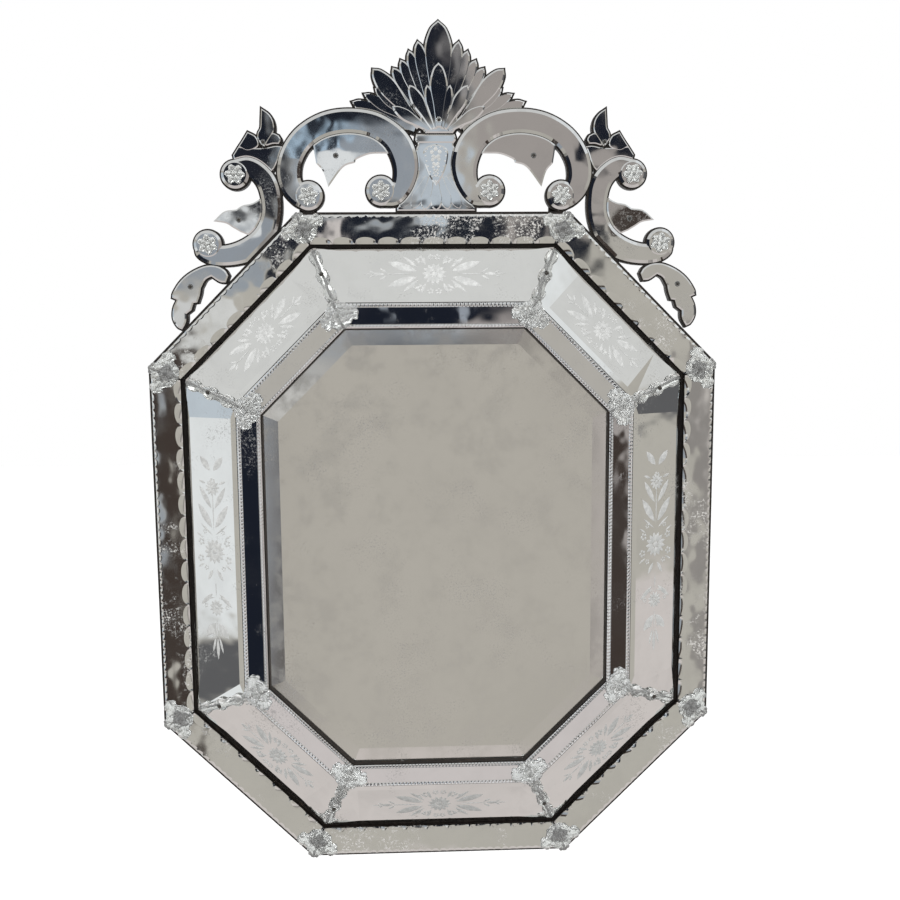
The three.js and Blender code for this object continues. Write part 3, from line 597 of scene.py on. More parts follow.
# Each motif is drawn for its right or upper half and given as leaves (x, y, angle, length, width), blooms
# (x, y, radius, petals) and florets (x, y, radius)
SPRAY = {
    "leaves": [(24, 5, 22, 40, 12), (24, -5, -22, 40, 12), (22, 9, 48, 26, 5), (22, -9, -48, 26, 5),
               (30, 0, 0, 34, 2), (62, 0, 0, 16, 5.5), (60, 1.5, 38, 12, 3.4), (60, -1.5, -38, 12, 3.4),
               (12, 15, 70, 18, 5), (12, -15, -70, 18, 5), (18, 20, 30, 12, 3), (18, -20, -30, 12, 3)],
    "florets": [(20, 24, 4.2), (21, -24, 4.2), (31, 19, 2.6), (31, -19, 2.6), (5, 28, 3.4), (6, -28, 3.4)],
    "blooms": [(0, 0, 17, 8)],
    "both": True,
}
LONG_SPRAY = {
    "leaves": [(26, 5, 20, 46, 13), (26, -5, -20, 46, 13), (24, 10, 42, 30, 5.5), (24, -10, -42, 30, 5.5),
               (34, 0, 0, 42, 2), (74, 0, 0, 18, 6), (70, 2, 36, 14, 3.6), (70, -2, -36, 14, 3.6),
               (90, 0, 0, 16, 2), (88, 1, 28, 10, 2.6), (88, -1, -28, 10, 2.6),
               (13, 15, 70, 18, 5), (13, -15, -70, 18, 5), (20, 20, 30, 12, 3), (20, -20, -30, 12, 3)],
    "florets": [(20, 24, 4.4), (21, -24, 4.4), (33, 20, 2.8), (33, -20, 2.8), (5, 29, 3.4), (6, -29, 3.4)],
    "blooms": [(0, 0, 18, 8)],
    "both": True,
}
UPRIGHT = {
    "leaves": [(124, 3, 40, 28, 11), (124, -3, -40, 28, 11), (104, 12, 70, 14, 4), (104, -12, -70, 14, 4),
               (66, 3, 32, 40, 9), (66, -3, -32, 40, 9), (36, 3, 34, 44, 12), (36, -3, -34, 44, 12),
               (30, 0, 0, 66, 2), (26, 4, 52, 26, 3.4), (26, -4, -52, 26, 3.4),
               (-28, 4, 150, 20, 6), (-28, -4, -150, 20, 6), (-46, 0, 180, 24, 2),
               (-66, 6, 130, 30, 7), (-66, -6, -130, 30, 7), (-72, 3, 100, 22, 3), (-72, -3, -100, 22, 3),
               (-112, 2, 140, 30, 13), (-112, -2, -140, 30, 13), (-104, 0, 180, 30, 2),
               (-134, 3, 165, 26, 4), (-134, -3, -165, 26, 4), (-136, 0, 180, 34, 6),
               (20, 20, 60, 14, 3), (20, -20, -60, 14, 3), (-20, 20, 120, 14, 3), (-20, -20, -120, 14, 3)],
    "florets": [(108, 0, 3.6), (14, 24, 4), (14, -24, 4), (-12, 26, 4), (-12, -26, 4), (30, 17, 2.6),
                (30, -17, 2.6), (-26, 16, 2.8), (-26, -16, 2.8), (-86, 20, 2.6), (-86, -20, 2.6),
                (-128, 8, 2.6), (-128, -8, 2.6)],
    "blooms": [(98, 0, 13, 6), (0, 0, 19, 8), (-88, 0, 13, 6)],
    "both": False,
}


def engraving(index, motif):
    bm = bmesh.new()
    for flip in ((1, -1) if motif["both"] else (1,)):
        for x, y, angle, length, width in motif["leaves"]:
            engraved_leaf(bm, flip * x, y, angle if flip > 0 else 180 - angle, length, width)
        for x, y, radius in motif["florets"]:
            floret(bm, flip * x, y, radius)
    for x, y, radius, petals in motif["blooms"]:
        bloom(bm, x, y, radius, petals, 11.0)
    turned = Matrix.Rotation(math.pi if index == 2 else 0, 4, "Z")
    run, rise = PANEL[1] - PANEL[0], PANEL_DEPTH[1] - PANEL_DEPTH[0]
    on_panel = sloped(PANEL[0] + run / 2, PANEL_DEPTH[0] + rise / 2, run, rise)
    lift = Matrix.Translation((0, 0, 0.04))
    mesh = to_mesh(f"engraving_{index + 1}", bm, side_place(index) @ on_panel @ lift @ turned)
    return add_piece(mesh.name, mesh, frost)


for index, motif in enumerate((LONG_SPRAY, SPRAY, UPRIGHT, SPRAY, LONG_SPRAY, SPRAY, UPRIGHT, SPRAY)):
    engraving(index, motif)


# The moulded clear glass

def lump(bm, x, y, z, size, turn=0.0, tilt=0.0, detail=2):
    """An egg of glass, its longest size along the direction that it is turned to."""
    shape = (Matrix.Translation((x, y, z)) @ Matrix.Rotation(math.radians(turn), 4, "Z")
             @ Matrix.Rotation(math.radians(tilt), 4, "X") @ Matrix.Diagonal((*size, 1)))
    bmesh.ops.create_icosphere(bm, subdivisions=detail, radius=1, matrix=shape)


def glass_leaf(bm, turn, start, length, width, height):
    """A lobed leaf from the flower's middle, with a raised rib. A turn of 0 runs inwards."""
    way = math.radians(turn)
    along = Vector((math.sin(way), -math.cos(way)))
    across = Vector((-along.y, along.x))
    middle = along * (start + length / 2)
    lump(bm, middle.x, middle.y, height * 0.4, (width * 0.6, length * 0.52, height * 0.6), turn)
    for share, swell in ((0.3, 0.9), (0.68, 0.8)):
        for side in (1, -1):
            at = along * (start + length * share) + across * side * width * 0.5
            lobe = (width * 0.42 * swell, length * 0.2, height * 0.62)
            lump(bm, at.x, at.y, height * 0.4, lobe, turn - side * 30)
    rib = along * (start + length * 0.5)
    lump(bm, rib.x, rib.y, height * 0.9, (width * 0.14, length * 0.4, height * 0.3), turn)


def glass_flower(bm, radius, height, petals=5):
    for i in range(petals):
        turn = 360 * i / petals + 12
        way = math.radians(turn)
        x, y = math.sin(way) * radius * 0.62, -math.cos(way) * radius * 0.62
        lump(bm, x, y, height * 0.55, (radius * 0.36, radius * 0.44, height * 0.34), turn, -20)
    lump(bm, 0, 0, height * 0.45, (radius * 0.5, radius * 0.5, height * 0.5))
    lump(bm, 0, 0, height * 0.85, (radius * 0.24, radius * 0.24, height * 0.15))


def flattened(bm, level=0.0):
    """Cuts a moulding flat where it lies on the glass."""
    cut = bmesh.ops.bisect_plane(bm, geom=bm.verts[:] + bm.edges[:] + bm.faces[:], dist=1e-5,
                                 plane_co=(0, 0, level), plane_no=(0, 0, 1), clear_inner=True)["geom_cut"]
    bmesh.ops.holes_fill(bm, edges=[part for part in cut if isinstance(part, bmesh.types.BMEdge)])
    return bm


strip_middle = sum(STRIP) / 2
outwards = strip_middle * STRETCH
flower = bmesh.new()
glass_flower(flower, 15, 9)
glass_leaf(flower, 0, 9, (STRIP[1] - strip_middle) * STRETCH - 11, 11, 5)
glass_leaf(flower, 180, 9, outwards - 9.5, 11, 5)
glass_leaf(flower, 100, 9, 26, 12, 5.2)
glass_leaf(flower, -100, 9, 26, 12, 5.2)
for turn in (48, -48, 142, -142):
    glass_leaf(flower, turn, 8, 14, 9, 4.6)
corner_flower = flattened(melted(flower, 0.8, 2))

panel_run = (PANEL[1] - PANEL[0]) * STRETCH
panel_rise = PANEL_DEPTH[1] - PANEL_DEPTH[0]
bar_length = math.hypot(panel_run, panel_rise)
bar = bmesh.new()
for share, width in ((-0.33, 10), (0, 10.5), (0.33, 10)):
    lump(bar, 0, share * bar_length, 0.8, (width, bar_length * 0.13, 4.4), detail=3)
lump(bar, 0, 0, 0.8, (6.6, bar_length * 0.5, 4.2), detail=3)
for share in (-0.33, 0.33):
    lump(bar, 0, share * bar_length, 4.6, (3.0, bar_length * 0.07, 1.1))
lump(bar, 0, 0, 2.6, (7.5, 7.5, 4.0))
mitre_bar = flattened(melted(bar, 0.8, 2))

inner_run = (INNER[1] - INNER[0]) * STRETCH
inner_rise = INNER_DEPTH[1] - INNER_DEPTH[0]
knot = bmesh.new()
glass_flower(knot, 14, 7.2)
glass_leaf(knot, 0, 8, inner_run / 2 - 6, 12, 5)
glass_leaf(knot, 180, 8, inner_run / 2 - 3, 12, 5)
glass_leaf(knot, 80, 9, 21, 13, 5.2)
glass_leaf(knot, -80, 9, 21, 13, 5.2)
for turn in (40, -40, 130, -130):
    glass_leaf(knot, turn, 8, 13, 9, 4.6)
inner_knot = flattened(melted(knot, 0.8, 2))


def placed(bm, matrix, twist):
    copy = bm.copy()
    bmesh.ops.transform(copy, matrix=matrix @ Matrix.Rotation(math.radians(twist), 4, "Z"), verts=copy.verts)
    return copy


def into_one(parts):
    whole = bpy.data.meshes.new("whole")
    made = bmesh.new()
    for part in parts:
        part.to_mesh(whole)
        made.from_mesh(whole)
        part.free()
    bpy.data.meshes.remove(whole)
    return made


BAR_INWARDS = 3
ORNAMENT_LIFT = 0.6
BAR_PIN = Matrix.Translation((0, 0, 7.4)) @ Matrix.Diagonal((3.4, 3.4, 1.8, 1))

for index in range(8):
    number = index + 1
    sway = 5 * math.sin(2.4 * number)
    on_strip = Matrix.Translation((0, -outwards, STRIP_FACE + ORNAMENT_LIFT / 2))
    mesh = to_mesh(f"glass_flower_{number}", placed(corner_flower, on_strip, sway * 0.4), corner_place(index))
    add_piece(mesh.name, mesh, clear_glass, [f"corner_flower_{number}"], smooth=180)
    bar_depth = sum(PANEL_DEPTH) / 2 + BAR_INWARDS * panel_rise / panel_run + ORNAMENT_LIFT
    on_panel = sloped(sum(PANEL) / 2 * STRETCH + BAR_INWARDS, bar_depth, panel_run, panel_rise)
    on_inner = sloped(sum(INNER) / 2 * STRETCH, sum(INNER_DEPTH) / 2 + ORNAMENT_LIFT, inner_run, inner_rise)
    bar = placed(mitre_bar, on_panel, 180 if number % 2 else 0)
    both = into_one([bar, placed(inner_knot, on_inner, sway * 0.5)])
    mesh = to_mesh(f"glass_bar_{number}", both, corner_place(index))
    add_piece(mesh.name, mesh, clear_glass, [f"mitre_ornament_{number}"], smooth=180)
    pin = bmesh.new()
    bmesh.ops.create_uvsphere(pin, u_segments=20, v_segments=10, radius=1,
                              matrix=on_panel @ BAR_PIN)
    mesh = to_mesh(f"bar_pin_{number}", pin, corner_place(index))
    add_piece(mesh.name, mesh, pin_metal, smooth=180)
for bm in (corner_flower, mitre_bar, inner_knot):
    bm.free()


# The crest, drawn up from the middle of the top edge for its right half

BIG_SCROLL = {
    "outer": [(80, 9), (55, 11), (36, 31), (26, 60), (30, 92), (48, 120), (84, 142), (128, 148), (168, 141),
              (203, 120), (225, 90), (232.5, 58), (226, 31), (210, 12), (190, 2.5)],
    "inner": [(78, 24), (66, 35), (61, 52), (63, 72), (74, 94), (96, 109), (128, 114), (160, 108), (183, 93),
              (196, 72), (199, 52), (195, 38), (190, 24)],
    "volutes": [(80.5, 30.5, 21.5), (187.5, 23.5, 21)],
}
SMALL_SCROLL = {
    "outer": [(296, 75), (276, 79), (258, 73), (241, 58), (231.5, 39), (228.5, 18), (229, -2), (233, -21),
              (241, -40), (254, -57), (272, -69), (295, -75.5), (320, -77), (340, -73), (354, -63),
              (357, -50)],
    "inner": [(290, 60), (272, 50), (262, 38), (257, 22), (255.5, 4), (259, -11), (267, -25), (280, -36),
              (297, -44.5), (315, -48.5), (335, -47)],
    "volutes": [(294, 54.5, 20.5), (337.5, -46.5, 20.5)],
}
BIG_LEAF = ([(60, 84), (80, 84), (97, 83), (115, 76), (118, 71), (136, 64), (158, 36), (165, 58), (175, 70),
             (178, 92), (176, 108), (128, 118), (74, 110)], (0, 4, 6, 8, 12))
SMALL_LEAF = ([(254, 22), (270, 13), (284, 10), (294, 4), (312, 1), (328, -13), (310, -16), (300, -22),
               (288, -29), (272, -32), (250, -10)], (0, 3, 5, 7, 8, 10))
FINIAL = [
    ([(228, 82), (224, 94), (234, 95), (250, 92), (268, 92), (288, 94), (296, 82), (290, 66), (262, 58),
      (240, 60)], (0, 1, 5, 6), 3.0),
    ([(259, 95), (262, 108), (274, 115), (281, 104), (288, 94), (274, 88)], (2, 4), 3.4),
    ([(248, 96), (238, 98), (229, 98), (226, 104), (229, 110), (237, 113), (244, 108)], (2, 4), 3.4),
    ([(250, 94), (243, 104), (237, 113), (235, 121), (237, 132), (243, 141), (253, 148), (254, 133),
      (255, 121), (259, 113), (259, 104)], (0, 6), 4.0),
]
DROOPING_LEAF = ([(309, -92), (314, -84), (326, -78), (343, -78), (364, -87), (380, -100), (391, -116),
                  (393, -124), (386, -127), (392, -140), (393, -155), (387, -167), (380, -171), (374, -160),
                  (373, -148), (365, -142), (362, -132), (356, -131), (352, -120), (350, -110), (343, -98),
                  (334, -93), (322, -101), (313, -102)], (0, 7, 8, 12, 14, 15, 16, 17, 19, 21, 23))
BIG_LEAF_BACKING = ([(62, 93), (98, 91), (122, 84), (142, 72), (156, 56), (161, 66), (172, 84), (175, 100),
                     (128, 118), (74, 110)], (0, 4, 9))
SMALL_LEAF_BACKING = ([(254, 16), (270, 7), (286, 3), (300, -4), (306, -9), (296, -14), (284, -22),
                       (272, -26), (250, -8)], (0, 4, 8))
SHIELD = [(0, 36), (10, 52), (17, 72), (17, 90), (0, 97), (-17, 90), (-17, 72), (-10, 52)]
VASE = ([(28, 112), (30, 104), (26, 97), (29, 88), (29, 60), (38, 26), (58, 6), (58, 1.5), (-58, 1.5),
         (-58, 6), (-38, 26), (-29, 60), (-29, 88), (-26, 97), (-30, 104), (-28, 112)], (0, 6, 7, 8, 9, 15))
VASE_LIP = ([(28, 111), (29.5, 105), (26, 99), (-26, 99), (-29.5, 105), (-28, 111)], (0, 2, 3, 5))
SHIELD_THICKNESS = 5.6
FLUTES = (-54, -36, -18, 0, 18, 36, 54)
PETALS = [
    ((0, 271.5), (0, 125), 20.5, 6.4, 0.76), ((30, 243), (8, 125), 10.5, 5.6, 0.8),
    ((43, 230), (10, 125), 9.5, 4.9, 0.8), ((55, 217), (12, 125), 9.5, 4.2, 0.8),
    ((67, 206), (14, 125), 9.5, 3.5, 0.8), ((96, 204), (28, 122), 14, 5.6, 0.74),
    ((93, 177), (34, 128), 9, 4.6, 0.7), ((109, 169), (34, 126), 9, 3.8, 0.7),
    ((127, 158), (34, 118), 12, 3.0, 0.7), ((0, 212), (0, 120), 13.5, 9.0, 0.7),
    ((17, 181), (5, 118), 7.5, 8.2, 0.7), ((43, 181), (8, 118), 10, 7.4, 0.7),
    ((68, 151), (12, 116), 9, 6.6, 0.7),
]
LOW_PETALS, FAR_PETALS = 6, 9
HEART = [(-20, 112), (20, 112), (27, 124), (25, 142), (12, 155), (-12, 155), (-25, 142), (-27, 124)]
PALMETTE_SHIFT = 6.0
VASE_SHIFT = 1.0
BOARD_MARGIN = 2.6
GLASS = (20.3, 24.3)
DROP = 1.4
FRAME_LOW = -CORNER_CUT - 60
FRAME_TOP = [Vector((x - CREST_SHIFT, y)) for x, y in (
    (RAIL_HALF, 0), (HALF_WIDTH, -CORNER_CUT), (HALF_WIDTH, FRAME_LOW), (-HALF_WIDTH, FRAME_LOW),
    (-HALF_WIDTH, -CORNER_CUT), (-RAIL_HALF, 0))]
CUT_DEPTHS = (-5, 60)
BEVELS = {"band": 4.5, "volute": 4, "leaf": 2.2, "finial": 1.5, "petal": 2.4, "low petal": 1.4, "vase": 2.0}
HIGH_DROP = 1.8


def scroll_outlines(scroll, side):
    band = run_through(scroll["outer"], 6) + run_through(scroll["inner"], 6)[::-1]
    return [sided(outline, side) for outline in (band, *(disc(*volute) for volute in scroll["volutes"]))]


def petal_outline(tip, root, half_width, fullness):
    along = Vector(tip) - Vector(root)
    across = Vector((along.y, -along.x)).normalized() * half_width
    full = fullness - 0.06
    shoulder = 0.7 + 0.3 * full
    shape = [(0, 0.4), (0.35, 0.7), (full, 1), (shoulder, 0.62), (1, 0), (shoulder, -0.62), (full, -1),
             (0.35, -0.7), (0, -0.4)]
    return leaf_outline([Vector(root) + along * a + across * b for a, b in shape], (0, 4, 8), 6)


def glass_body(outline, thickness, bevel, drop=DROP, cutters=()):
    """Bevelled mirror glass on an outline, cut back from its neighbours."""
    front = GLASS[0] + thickness - drop
    bm = slab(outline, GLASS[0], front)
    taken = [slab(grown(other, PIECE_GAP), *CUT_DEPTHS) for other in (FRAME_TOP, *cutters)]
    bm = combined(bm, taken, "DIFFERENCE")
    return bevelled(bm, front, bevel, drop)


def scroll_body(outlines, cutters=()):
    """A band and the two discs that it ends in, which stand a little higher."""
    band, *volutes = outlines
    bodies = [glass_body(band, 4, BEVELS["band"], cutters=cutters)]
    bodies += [glass_body(volute, 4.8, BEVELS["volute"], HIGH_DROP, cutters) for volute in volutes]
    return into_one(bodies)


def add_crest_piece(name, bm, look=None):
    mesh = to_mesh(f"cut_{name}", bm, CREST)
    return add_piece(mesh.name, mesh, look or crest_glass, [name])


board_outlines = []
for hand, side in (("right", 1), ("left", -1)):
    big, small = scroll_outlines(BIG_SCROLL, side), scroll_outlines(SMALL_SCROLL, side)
    add_crest_piece(f"big_scroll_{hand}", scroll_body(big))
    add_crest_piece(f"small_scroll_{hand}", scroll_body(small, big))
    leaves = {
        "big_leaf": (BIG_LEAF, BIG_LEAF_BACKING, big),
        "small_leaf": (SMALL_LEAF, SMALL_LEAF_BACKING, small),
        "drooping_leaf": (DROOPING_LEAF, DROOPING_LEAF, small),
    }
    for name, (drawn, backing, cutters) in leaves.items():
        outline = sided(leaf_outline(*drawn), side)
        add_crest_piece(f"{name}_{hand}", glass_body(outline, 4, BEVELS["leaf"], cutters=cutters))
        board_outlines.append(sided(leaf_outline(*backing), side))
    lobes = [(sided(leaf_outline(points, sharp), side), thickness) for points, sharp, thickness in FINIAL]
    bodies = [glass_body(outline, thickness, BEVELS["finial"], 1.0, small + big)
              for outline, thickness in lobes]
    add_crest_piece(f"finial_{hand}", into_one(bodies))
    board_outlines += [outline for outline, _ in lobes] + big + small

both_big = [outline for side in (1, -1) for outline in scroll_outlines(BIG_SCROLL, side)]
neck = [Vector(point) for point in ((-34, 70), (34, 70), (34, 112), (-34, 112))]
heart = moved(leaf_outline(HEART, (0, 1)), PALMETTE_SHIFT)
bodies = [glass_body(heart, 6, BEVELS["leaf"], cutters=both_big + [neck])]
for i, (tip, root, half_width, thickness, fullness) in enumerate(PETALS):
    for side in ((1,) if tip[0] == 0 else (1, -1)):
        outline = moved(sided(petal_outline(tip, root, half_width, fullness), side), PALMETTE_SHIFT)
        bevel = BEVELS["low petal" if LOW_PETALS <= i < FAR_PETALS else "petal"]
        bodies.append(glass_body(outline, thickness - 0.04 * side, bevel, HIGH_DROP, both_big + [neck]))
        if i < FAR_PETALS:
            board_outlines.append(outline)
add_crest_piece("palmette", into_one(bodies))

vase = moved(leaf_outline(*VASE), VASE_SHIFT)
shield = moved(leaf_outline(SHIELD, (0,)), VASE_SHIFT)
bodies = [glass_body(vase, 3.2, BEVELS["vase"], cutters=both_big)]
bodies.append(glass_body(moved(leaf_outline(*VASE_LIP), VASE_SHIFT), 4.8, BEVELS["vase"], cutters=both_big))
bodies.append(glass_body(shield, SHIELD_THICKNESS, BEVELS["vase"]))
for i, x in enumerate(FLUTES):
    flute = moved(petal_outline((x, 1 + abs(x) * 0.06), (0.35 * x, 52), 10, 0.7), VASE_SHIFT)
    bodies.append(glass_body(flute, 4.6 - 0.4 * abs(i - 3), BEVELS["vase"], cutters=both_big))
add_crest_piece("vase", into_one(bodies))
board_outlines += [heart, vase]

bm = bmesh.new()
border = moved(grown(leaf_outline(SHIELD, (0,)), -3.4), VASE_SHIFT)
for x, y in border[::2]:
    engraved_dot(bm, x, y, 1.3)
for height, size in ((84, 6.0), (73, 5.0), (63, 4.0), (54, 3.0)):
    floret(bm, VASE_SHIFT, height, size)
mesh = to_mesh("engraving_shield", bm, CREST @ Matrix.Translation((0, 0, GLASS[0] + SHIELD_THICKNESS + 0.02)))
add_piece(mesh.name, mesh, frost)


# The blackened board behind the crest, with the battens that carry it

def block(left, right, low, high, back, front):
    corners = ((left, low), (right, low), (right, high), (left, high))
    return slab([Vector(point) for point in corners], back, front)


joints = [disc(side * x, y, 8, 24) for x, y in ((229, 38), (326, -78), (240, 76)) for side in (1, -1)]
slabs = [slab(grown(outline, BOARD_MARGIN), *BOARD) for outline in board_outlines]
slabs += [slab(joint, *BOARD) for joint in joints]
board = combined(slabs[0], slabs[1:], "UNION")
board = combined(board, [slab(FRAME_TOP, *CUT_DEPTHS)], "DIFFERENCE")
battens = []
for index, along, width, rise in ((0, -44, 24, 44), (0, 44, 24, 44), (0, -187, 26, 36), (0, 187, 26, 36),
                                  (1, -83, 28, 22), (7, 83, 28, 22)):
    batten = block(along - width / 2, along + width / 2, -38, rise, 0, 8)
    bmesh.ops.transform(batten, matrix=CREST.inverted() @ side_place(index), verts=batten.verts)
    battens.append(batten)
board = combined(board, battens, "UNION")
mesh = to_mesh("crest_backing", board, CREST)
add_piece(mesh.name, mesh, black_wood, ["crest_board"])


# Rosettes on the scrolls' ends, pins and screws

rosette = bmesh.new()
for i in range(6):
    way = math.radians(60 * i)
    lump(rosette, 9.6 * math.sin(way), -9.6 * math.cos(way), 1.4, (4.6, 5.6, 2.8), 60 * i)
    lump(rosette, 11.5 * math.sin(way), -11.5 * math.cos(way), 3.6, (1.8, 2.2, 1.0), 60 * i)
lump(rosette, 0, 0, 1.2, (12, 12, 1.6))
lump(rosette, 0, 0, 2.4, (3.8, 3.8, 2.8))
rosette = flattened(melted(rosette, 0.5, 2), 0.1)
for hand, side in (("right", 1), ("left", -1)):
    for k, (x, y, _) in enumerate(BIG_SCROLL["volutes"] + SMALL_SCROLL["volutes"]):
        at = Matrix.Translation((side * x, y, GLASS[1] + 0.9))
        mesh = to_mesh(f"rosette_{hand}_{k + 1}", placed(rosette, at, 17 * k * side), CREST)
        add_piece(mesh.name, mesh, clear_glass, smooth=180)
rosette.free()

pins = [("palmette", 6, 131, 29.4), ("right_big_leaf", 146, 81, 24.4), ("left_big_leaf", -146, 81, 24.4),
        ("right_small_leaf", 290.5, -11, 24.4), ("left_small_leaf", -290.5, -11, 24.4),
        ("right_finial", 252, 100, 24.4), ("left_finial", -252, 100, 24.4),
        ("right_drooping_leaf", 365, -108, 24.4), ("left_drooping_leaf", -365, -108, 24.4)]
for name, x, y, depth in pins:
    bm = bmesh.new()
    bmesh.ops.create_cone(bm, cap_ends=True, segments=28, radius1=4.2, radius2=3.8, depth=0.7,
                          matrix=Matrix.Translation((x, y, depth + 0.25)))
    mesh = to_mesh(f"washer_{name}", bm, CREST)
    add_piece(mesh.name, mesh, clear_glass, smooth=40)
    bm = bmesh.new()
    at = Matrix.Translation((x, y, depth + 0.7)) @ Matrix.Diagonal((2.3, 2.3, 1.3, 1))
    bmesh.ops.create_uvsphere(bm, u_segments=20, v_segments=10, radius=1, matrix=at)
    mesh = to_mesh(f"pin_{name}", bm, CREST)
    add_piece(mesh.name, mesh, pin_metal, smooth=180)


# The camera, at the photograph's angle

CAMERA_PLACE = (-0.03868, -1.5416, -0.1424)
CAMERA_TURNS = ((0.0076, "Z"), (0.1253, "X"), (0.0398, "Y"))


def photo_camera():
    data = bpy.data.cameras.new("camera")
    data.sensor_fit = "HORIZONTAL"
    data.sensor_width = 36
    data.lens = 40
    data.clip_start, data.clip_end = 0.05, 60
    camera = bpy.data.objects.new("camera", data)
    bpy.context.scene.collection.objects.link(camera)
    swing = Matrix.Identity(4)
    for angle, axis in CAMERA_TURNS:
        swing = swing @ Matrix.Rotation(angle, 4, axis)
    camera.matrix_world = Matrix.Translation(CAMERA_PLACE) @ FLAT @ swing.transposed()
    bpy.context.scene.camera = camera


photo_camera()


# The studio: a pale floor and a soft surround with lighter and darker screens, which the glass reflects

WHITE = (1.0, 1.0, 1.0)
WARM = (0.50, 0.475, 0.43)
NAVY = (0.012, 0.015, 0.024)
SLATE = (0.33, 0.36, 0.40)
SKY = (0.46, 0.60, 0.74)
BROWN = (0.055, 0.042, 0.036)
TAUPE = (0.40, 0.365, 0.345)
ROSE = (0.66, 0.61, 0.59)
PALE = (0.84, 0.86, 0.87)
SILVER = (0.70, 0.70, 0.69)
MIST = (0.56, 0.62, 0.68)
SHADE = (0.30, 0.28, 0.265)
COAL = (0.12, 0.12, 0.125)

# Soft screens round the mirror: the left, right, low and high end of the directions seen, and the tone
SCREENS = [
    (-1.1, 1.1, -1.1, -0.50, ROSE),
    (-1.1, 1.1, 0.42, 1.1, SILVER),
    (-0.60, 0.34, 0.215, 0.42, NAVY),
    (-0.03, -0.015, 0.215, 0.42, SLATE),
    (0.05, 0.065, 0.215, 0.42, SLATE),
    (-0.64, -0.37, -0.46, 0.24, NAVY),
    (-0.31, -0.25, -0.50, -0.02, SLATE),
    (-0.25, -0.205, -0.46, -0.02, BROWN),
    (-0.23, -0.17, -0.02, 0.035, SILVER),
    (0.268, 0.302, -0.50, 0.0, SHADE),
    (0.304, 0.37, -0.50, 0.0, ROSE),
    (0.42, 0.66, -0.46, 0.24, TAUPE),
    (0.45, 0.485, -0.46, 0.24, BROWN),
    (-1.1, -0.76, -0.07, 0.2, MIST),
    (-1.1, -0.76, -0.29, -0.07, PALE),
    (-1.1, -0.76, -0.39, -0.30, COAL),
    (-1.1, -0.76, -0.52, -0.40, PALE),
    (0.76, 1.1, -0.09, 0.2, COAL),
    (0.76, 1.1, -0.24, -0.09, WARM),
    (0.76, 1.1, -0.52, -0.24, ROSE),
    (-0.86, -0.40, 0.30, 0.80, SILVER),
    (0.36, 0.66, 0.34, 0.80, PALE),
    (0.66, 0.86, 0.28, 0.40, WARM),
    (-0.26, -0.110, 0.105, 0.215, NAVY),
    (-0.26, -0.125, 0.045, 0.105, SLATE),
    (-0.185, -0.145, 0.086, 0.110, PALE),
    (-0.108, 0.01, 0.105, 0.215, SLATE),
    (-0.112, -0.055, 0.16, 0.215, SKY),
    (-0.100, -0.090, 0.16, 0.215, NAVY),
    (-0.078, -0.066, 0.16, 0.215, NAVY),
    (-0.094, -0.045, 0.125, 0.158, PALE),
    (0.008, 0.054, 0.105, 0.186, MIST),
    (0.068, 0.29, 0.105, 0.215, TAUPE),
    (0.165, 0.225, 0.150, 0.215, NAVY),
    (0.200, 0.245, 0.088, 0.112, BROWN),
    (-0.10, 0.054, 0.188, 0.30, NAVY),
    (0.054, 0.16, 0.188, 0.30, TAUPE),
    (-0.12, 0.19, 0.045, 0.106, NAVY),
    (-0.09, -0.075, 0.045, 0.106, ROSE),
    (0.09, 0.12, 0.045, 0.106, TAUPE),
]


def strip_of(tree, value, low, high, soft):
    return maths(tree, "MINIMUM", between(tree, value, low - soft, low + soft),
                 between(tree, value, high - soft, high + soft, 1, 0))


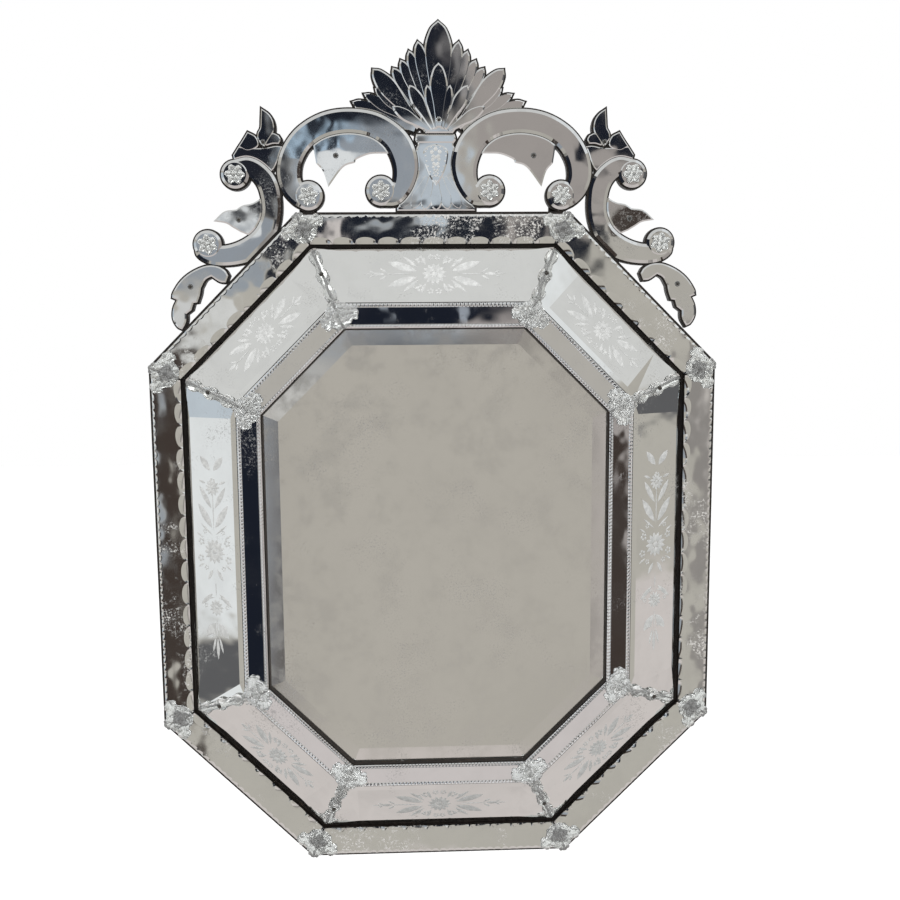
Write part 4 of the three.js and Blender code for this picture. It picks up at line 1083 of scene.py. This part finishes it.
def surround():
    world = bpy.data.worlds.new("studio")
    world.use_nodes = True
    bpy.context.scene.world = world
    tree = world.node_tree
    tree.nodes.clear()
    way = place(tree, "ShaderNodeTexCoord").outputs["Generated"]
    x, y, z = place(tree, "ShaderNodeSeparateXYZ", {0: way}).outputs
    seen = place(tree, "ShaderNodeRGB").outputs[0]
    seen.default_value = (*WARM, 1)
    for left, right, low, high, colour in SCREENS:
        soft = 0.003 if high - low < 0.08 or right - left < 0.05 else 0.014
        breadth, height = strip_of(tree, x, left, right, soft), strip_of(tree, z, low, high, soft)
        inside = maths(tree, "MULTIPLY", breadth, height)
        seen = blended(tree, inside, seen, colour)
    cloud = place(tree, "ShaderNodeTexNoise", {"Vector": way}, Scale=9.0, Detail=5.0, Roughness=0.6)
    seen = blended(tree, between(tree, cloud.outputs["Fac"], 0.45, 0.75, 0, 0.12), seen, (0.12, 0.115, 0.11))
    seen = blended(tree, between(tree, y, -0.05, 0.15), seen, WHITE)
    path = place(tree, "ShaderNodeLightPath")
    light = blended(tree, between(tree, z, -0.35, 0.35), (0.34, 0.33, 0.32), (1.2, 1.2, 1.2))
    seen = blended(tree, path.outputs["Is Diffuse Ray"], seen, light)
    seen = blended(tree, path.outputs["Is Camera Ray"], seen, WHITE)
    glow = place(tree, "ShaderNodeBackground", {"Color": seen}, Strength=1.0)
    place(tree, "ShaderNodeOutputWorld", {"Surface": glow.outputs[0]})


surround()

floor_look, _, floor_shader = new_look("pale_floor")
floor_shader.inputs["Base Color"].default_value = (0.95, 0.95, 0.95, 1)
floor_shader.inputs["Roughness"].default_value = 0.9
bm = bmesh.new()
bmesh.ops.create_grid(bm, x_segments=1, y_segments=1, size=9, matrix=Matrix.Translation((0, 0, -1.6)))
floor_mesh = bpy.data.meshes.new("floor")
bm.to_mesh(floor_mesh)
bm.free()
floor = bpy.data.objects.new("floor", floor_mesh)
floor.data.materials.append(floor_look)
floor.visible_glossy = False
floor.visible_diffuse = False
bpy.context.scene.collection.objects.link(floor)

LAMPS = (("soft_key", (-1.6, -2.2, 1.6), 1.6, 26), ("soft_fill", (1.9, -2.4, 0.6), 1.8, 12))
LIT_POINT = Vector((0, 0, -0.4))

for name, at, size, power in LAMPS:
    light = bpy.data.lights.new(name, "AREA")
    light.size = size
    light.energy = power
    lamp = bpy.data.objects.new(name, light)
    facing = (Vector(at) - LIT_POINT).to_track_quat("Z", "Y").to_matrix().to_4x4()
    lamp.matrix_world = Matrix.Translation(at) @ facing
    lamp.visible_glossy = False
    bpy.context.scene.collection.objects.link(lamp)

bpy.context.scene.view_settings.view_transform = "Standard"
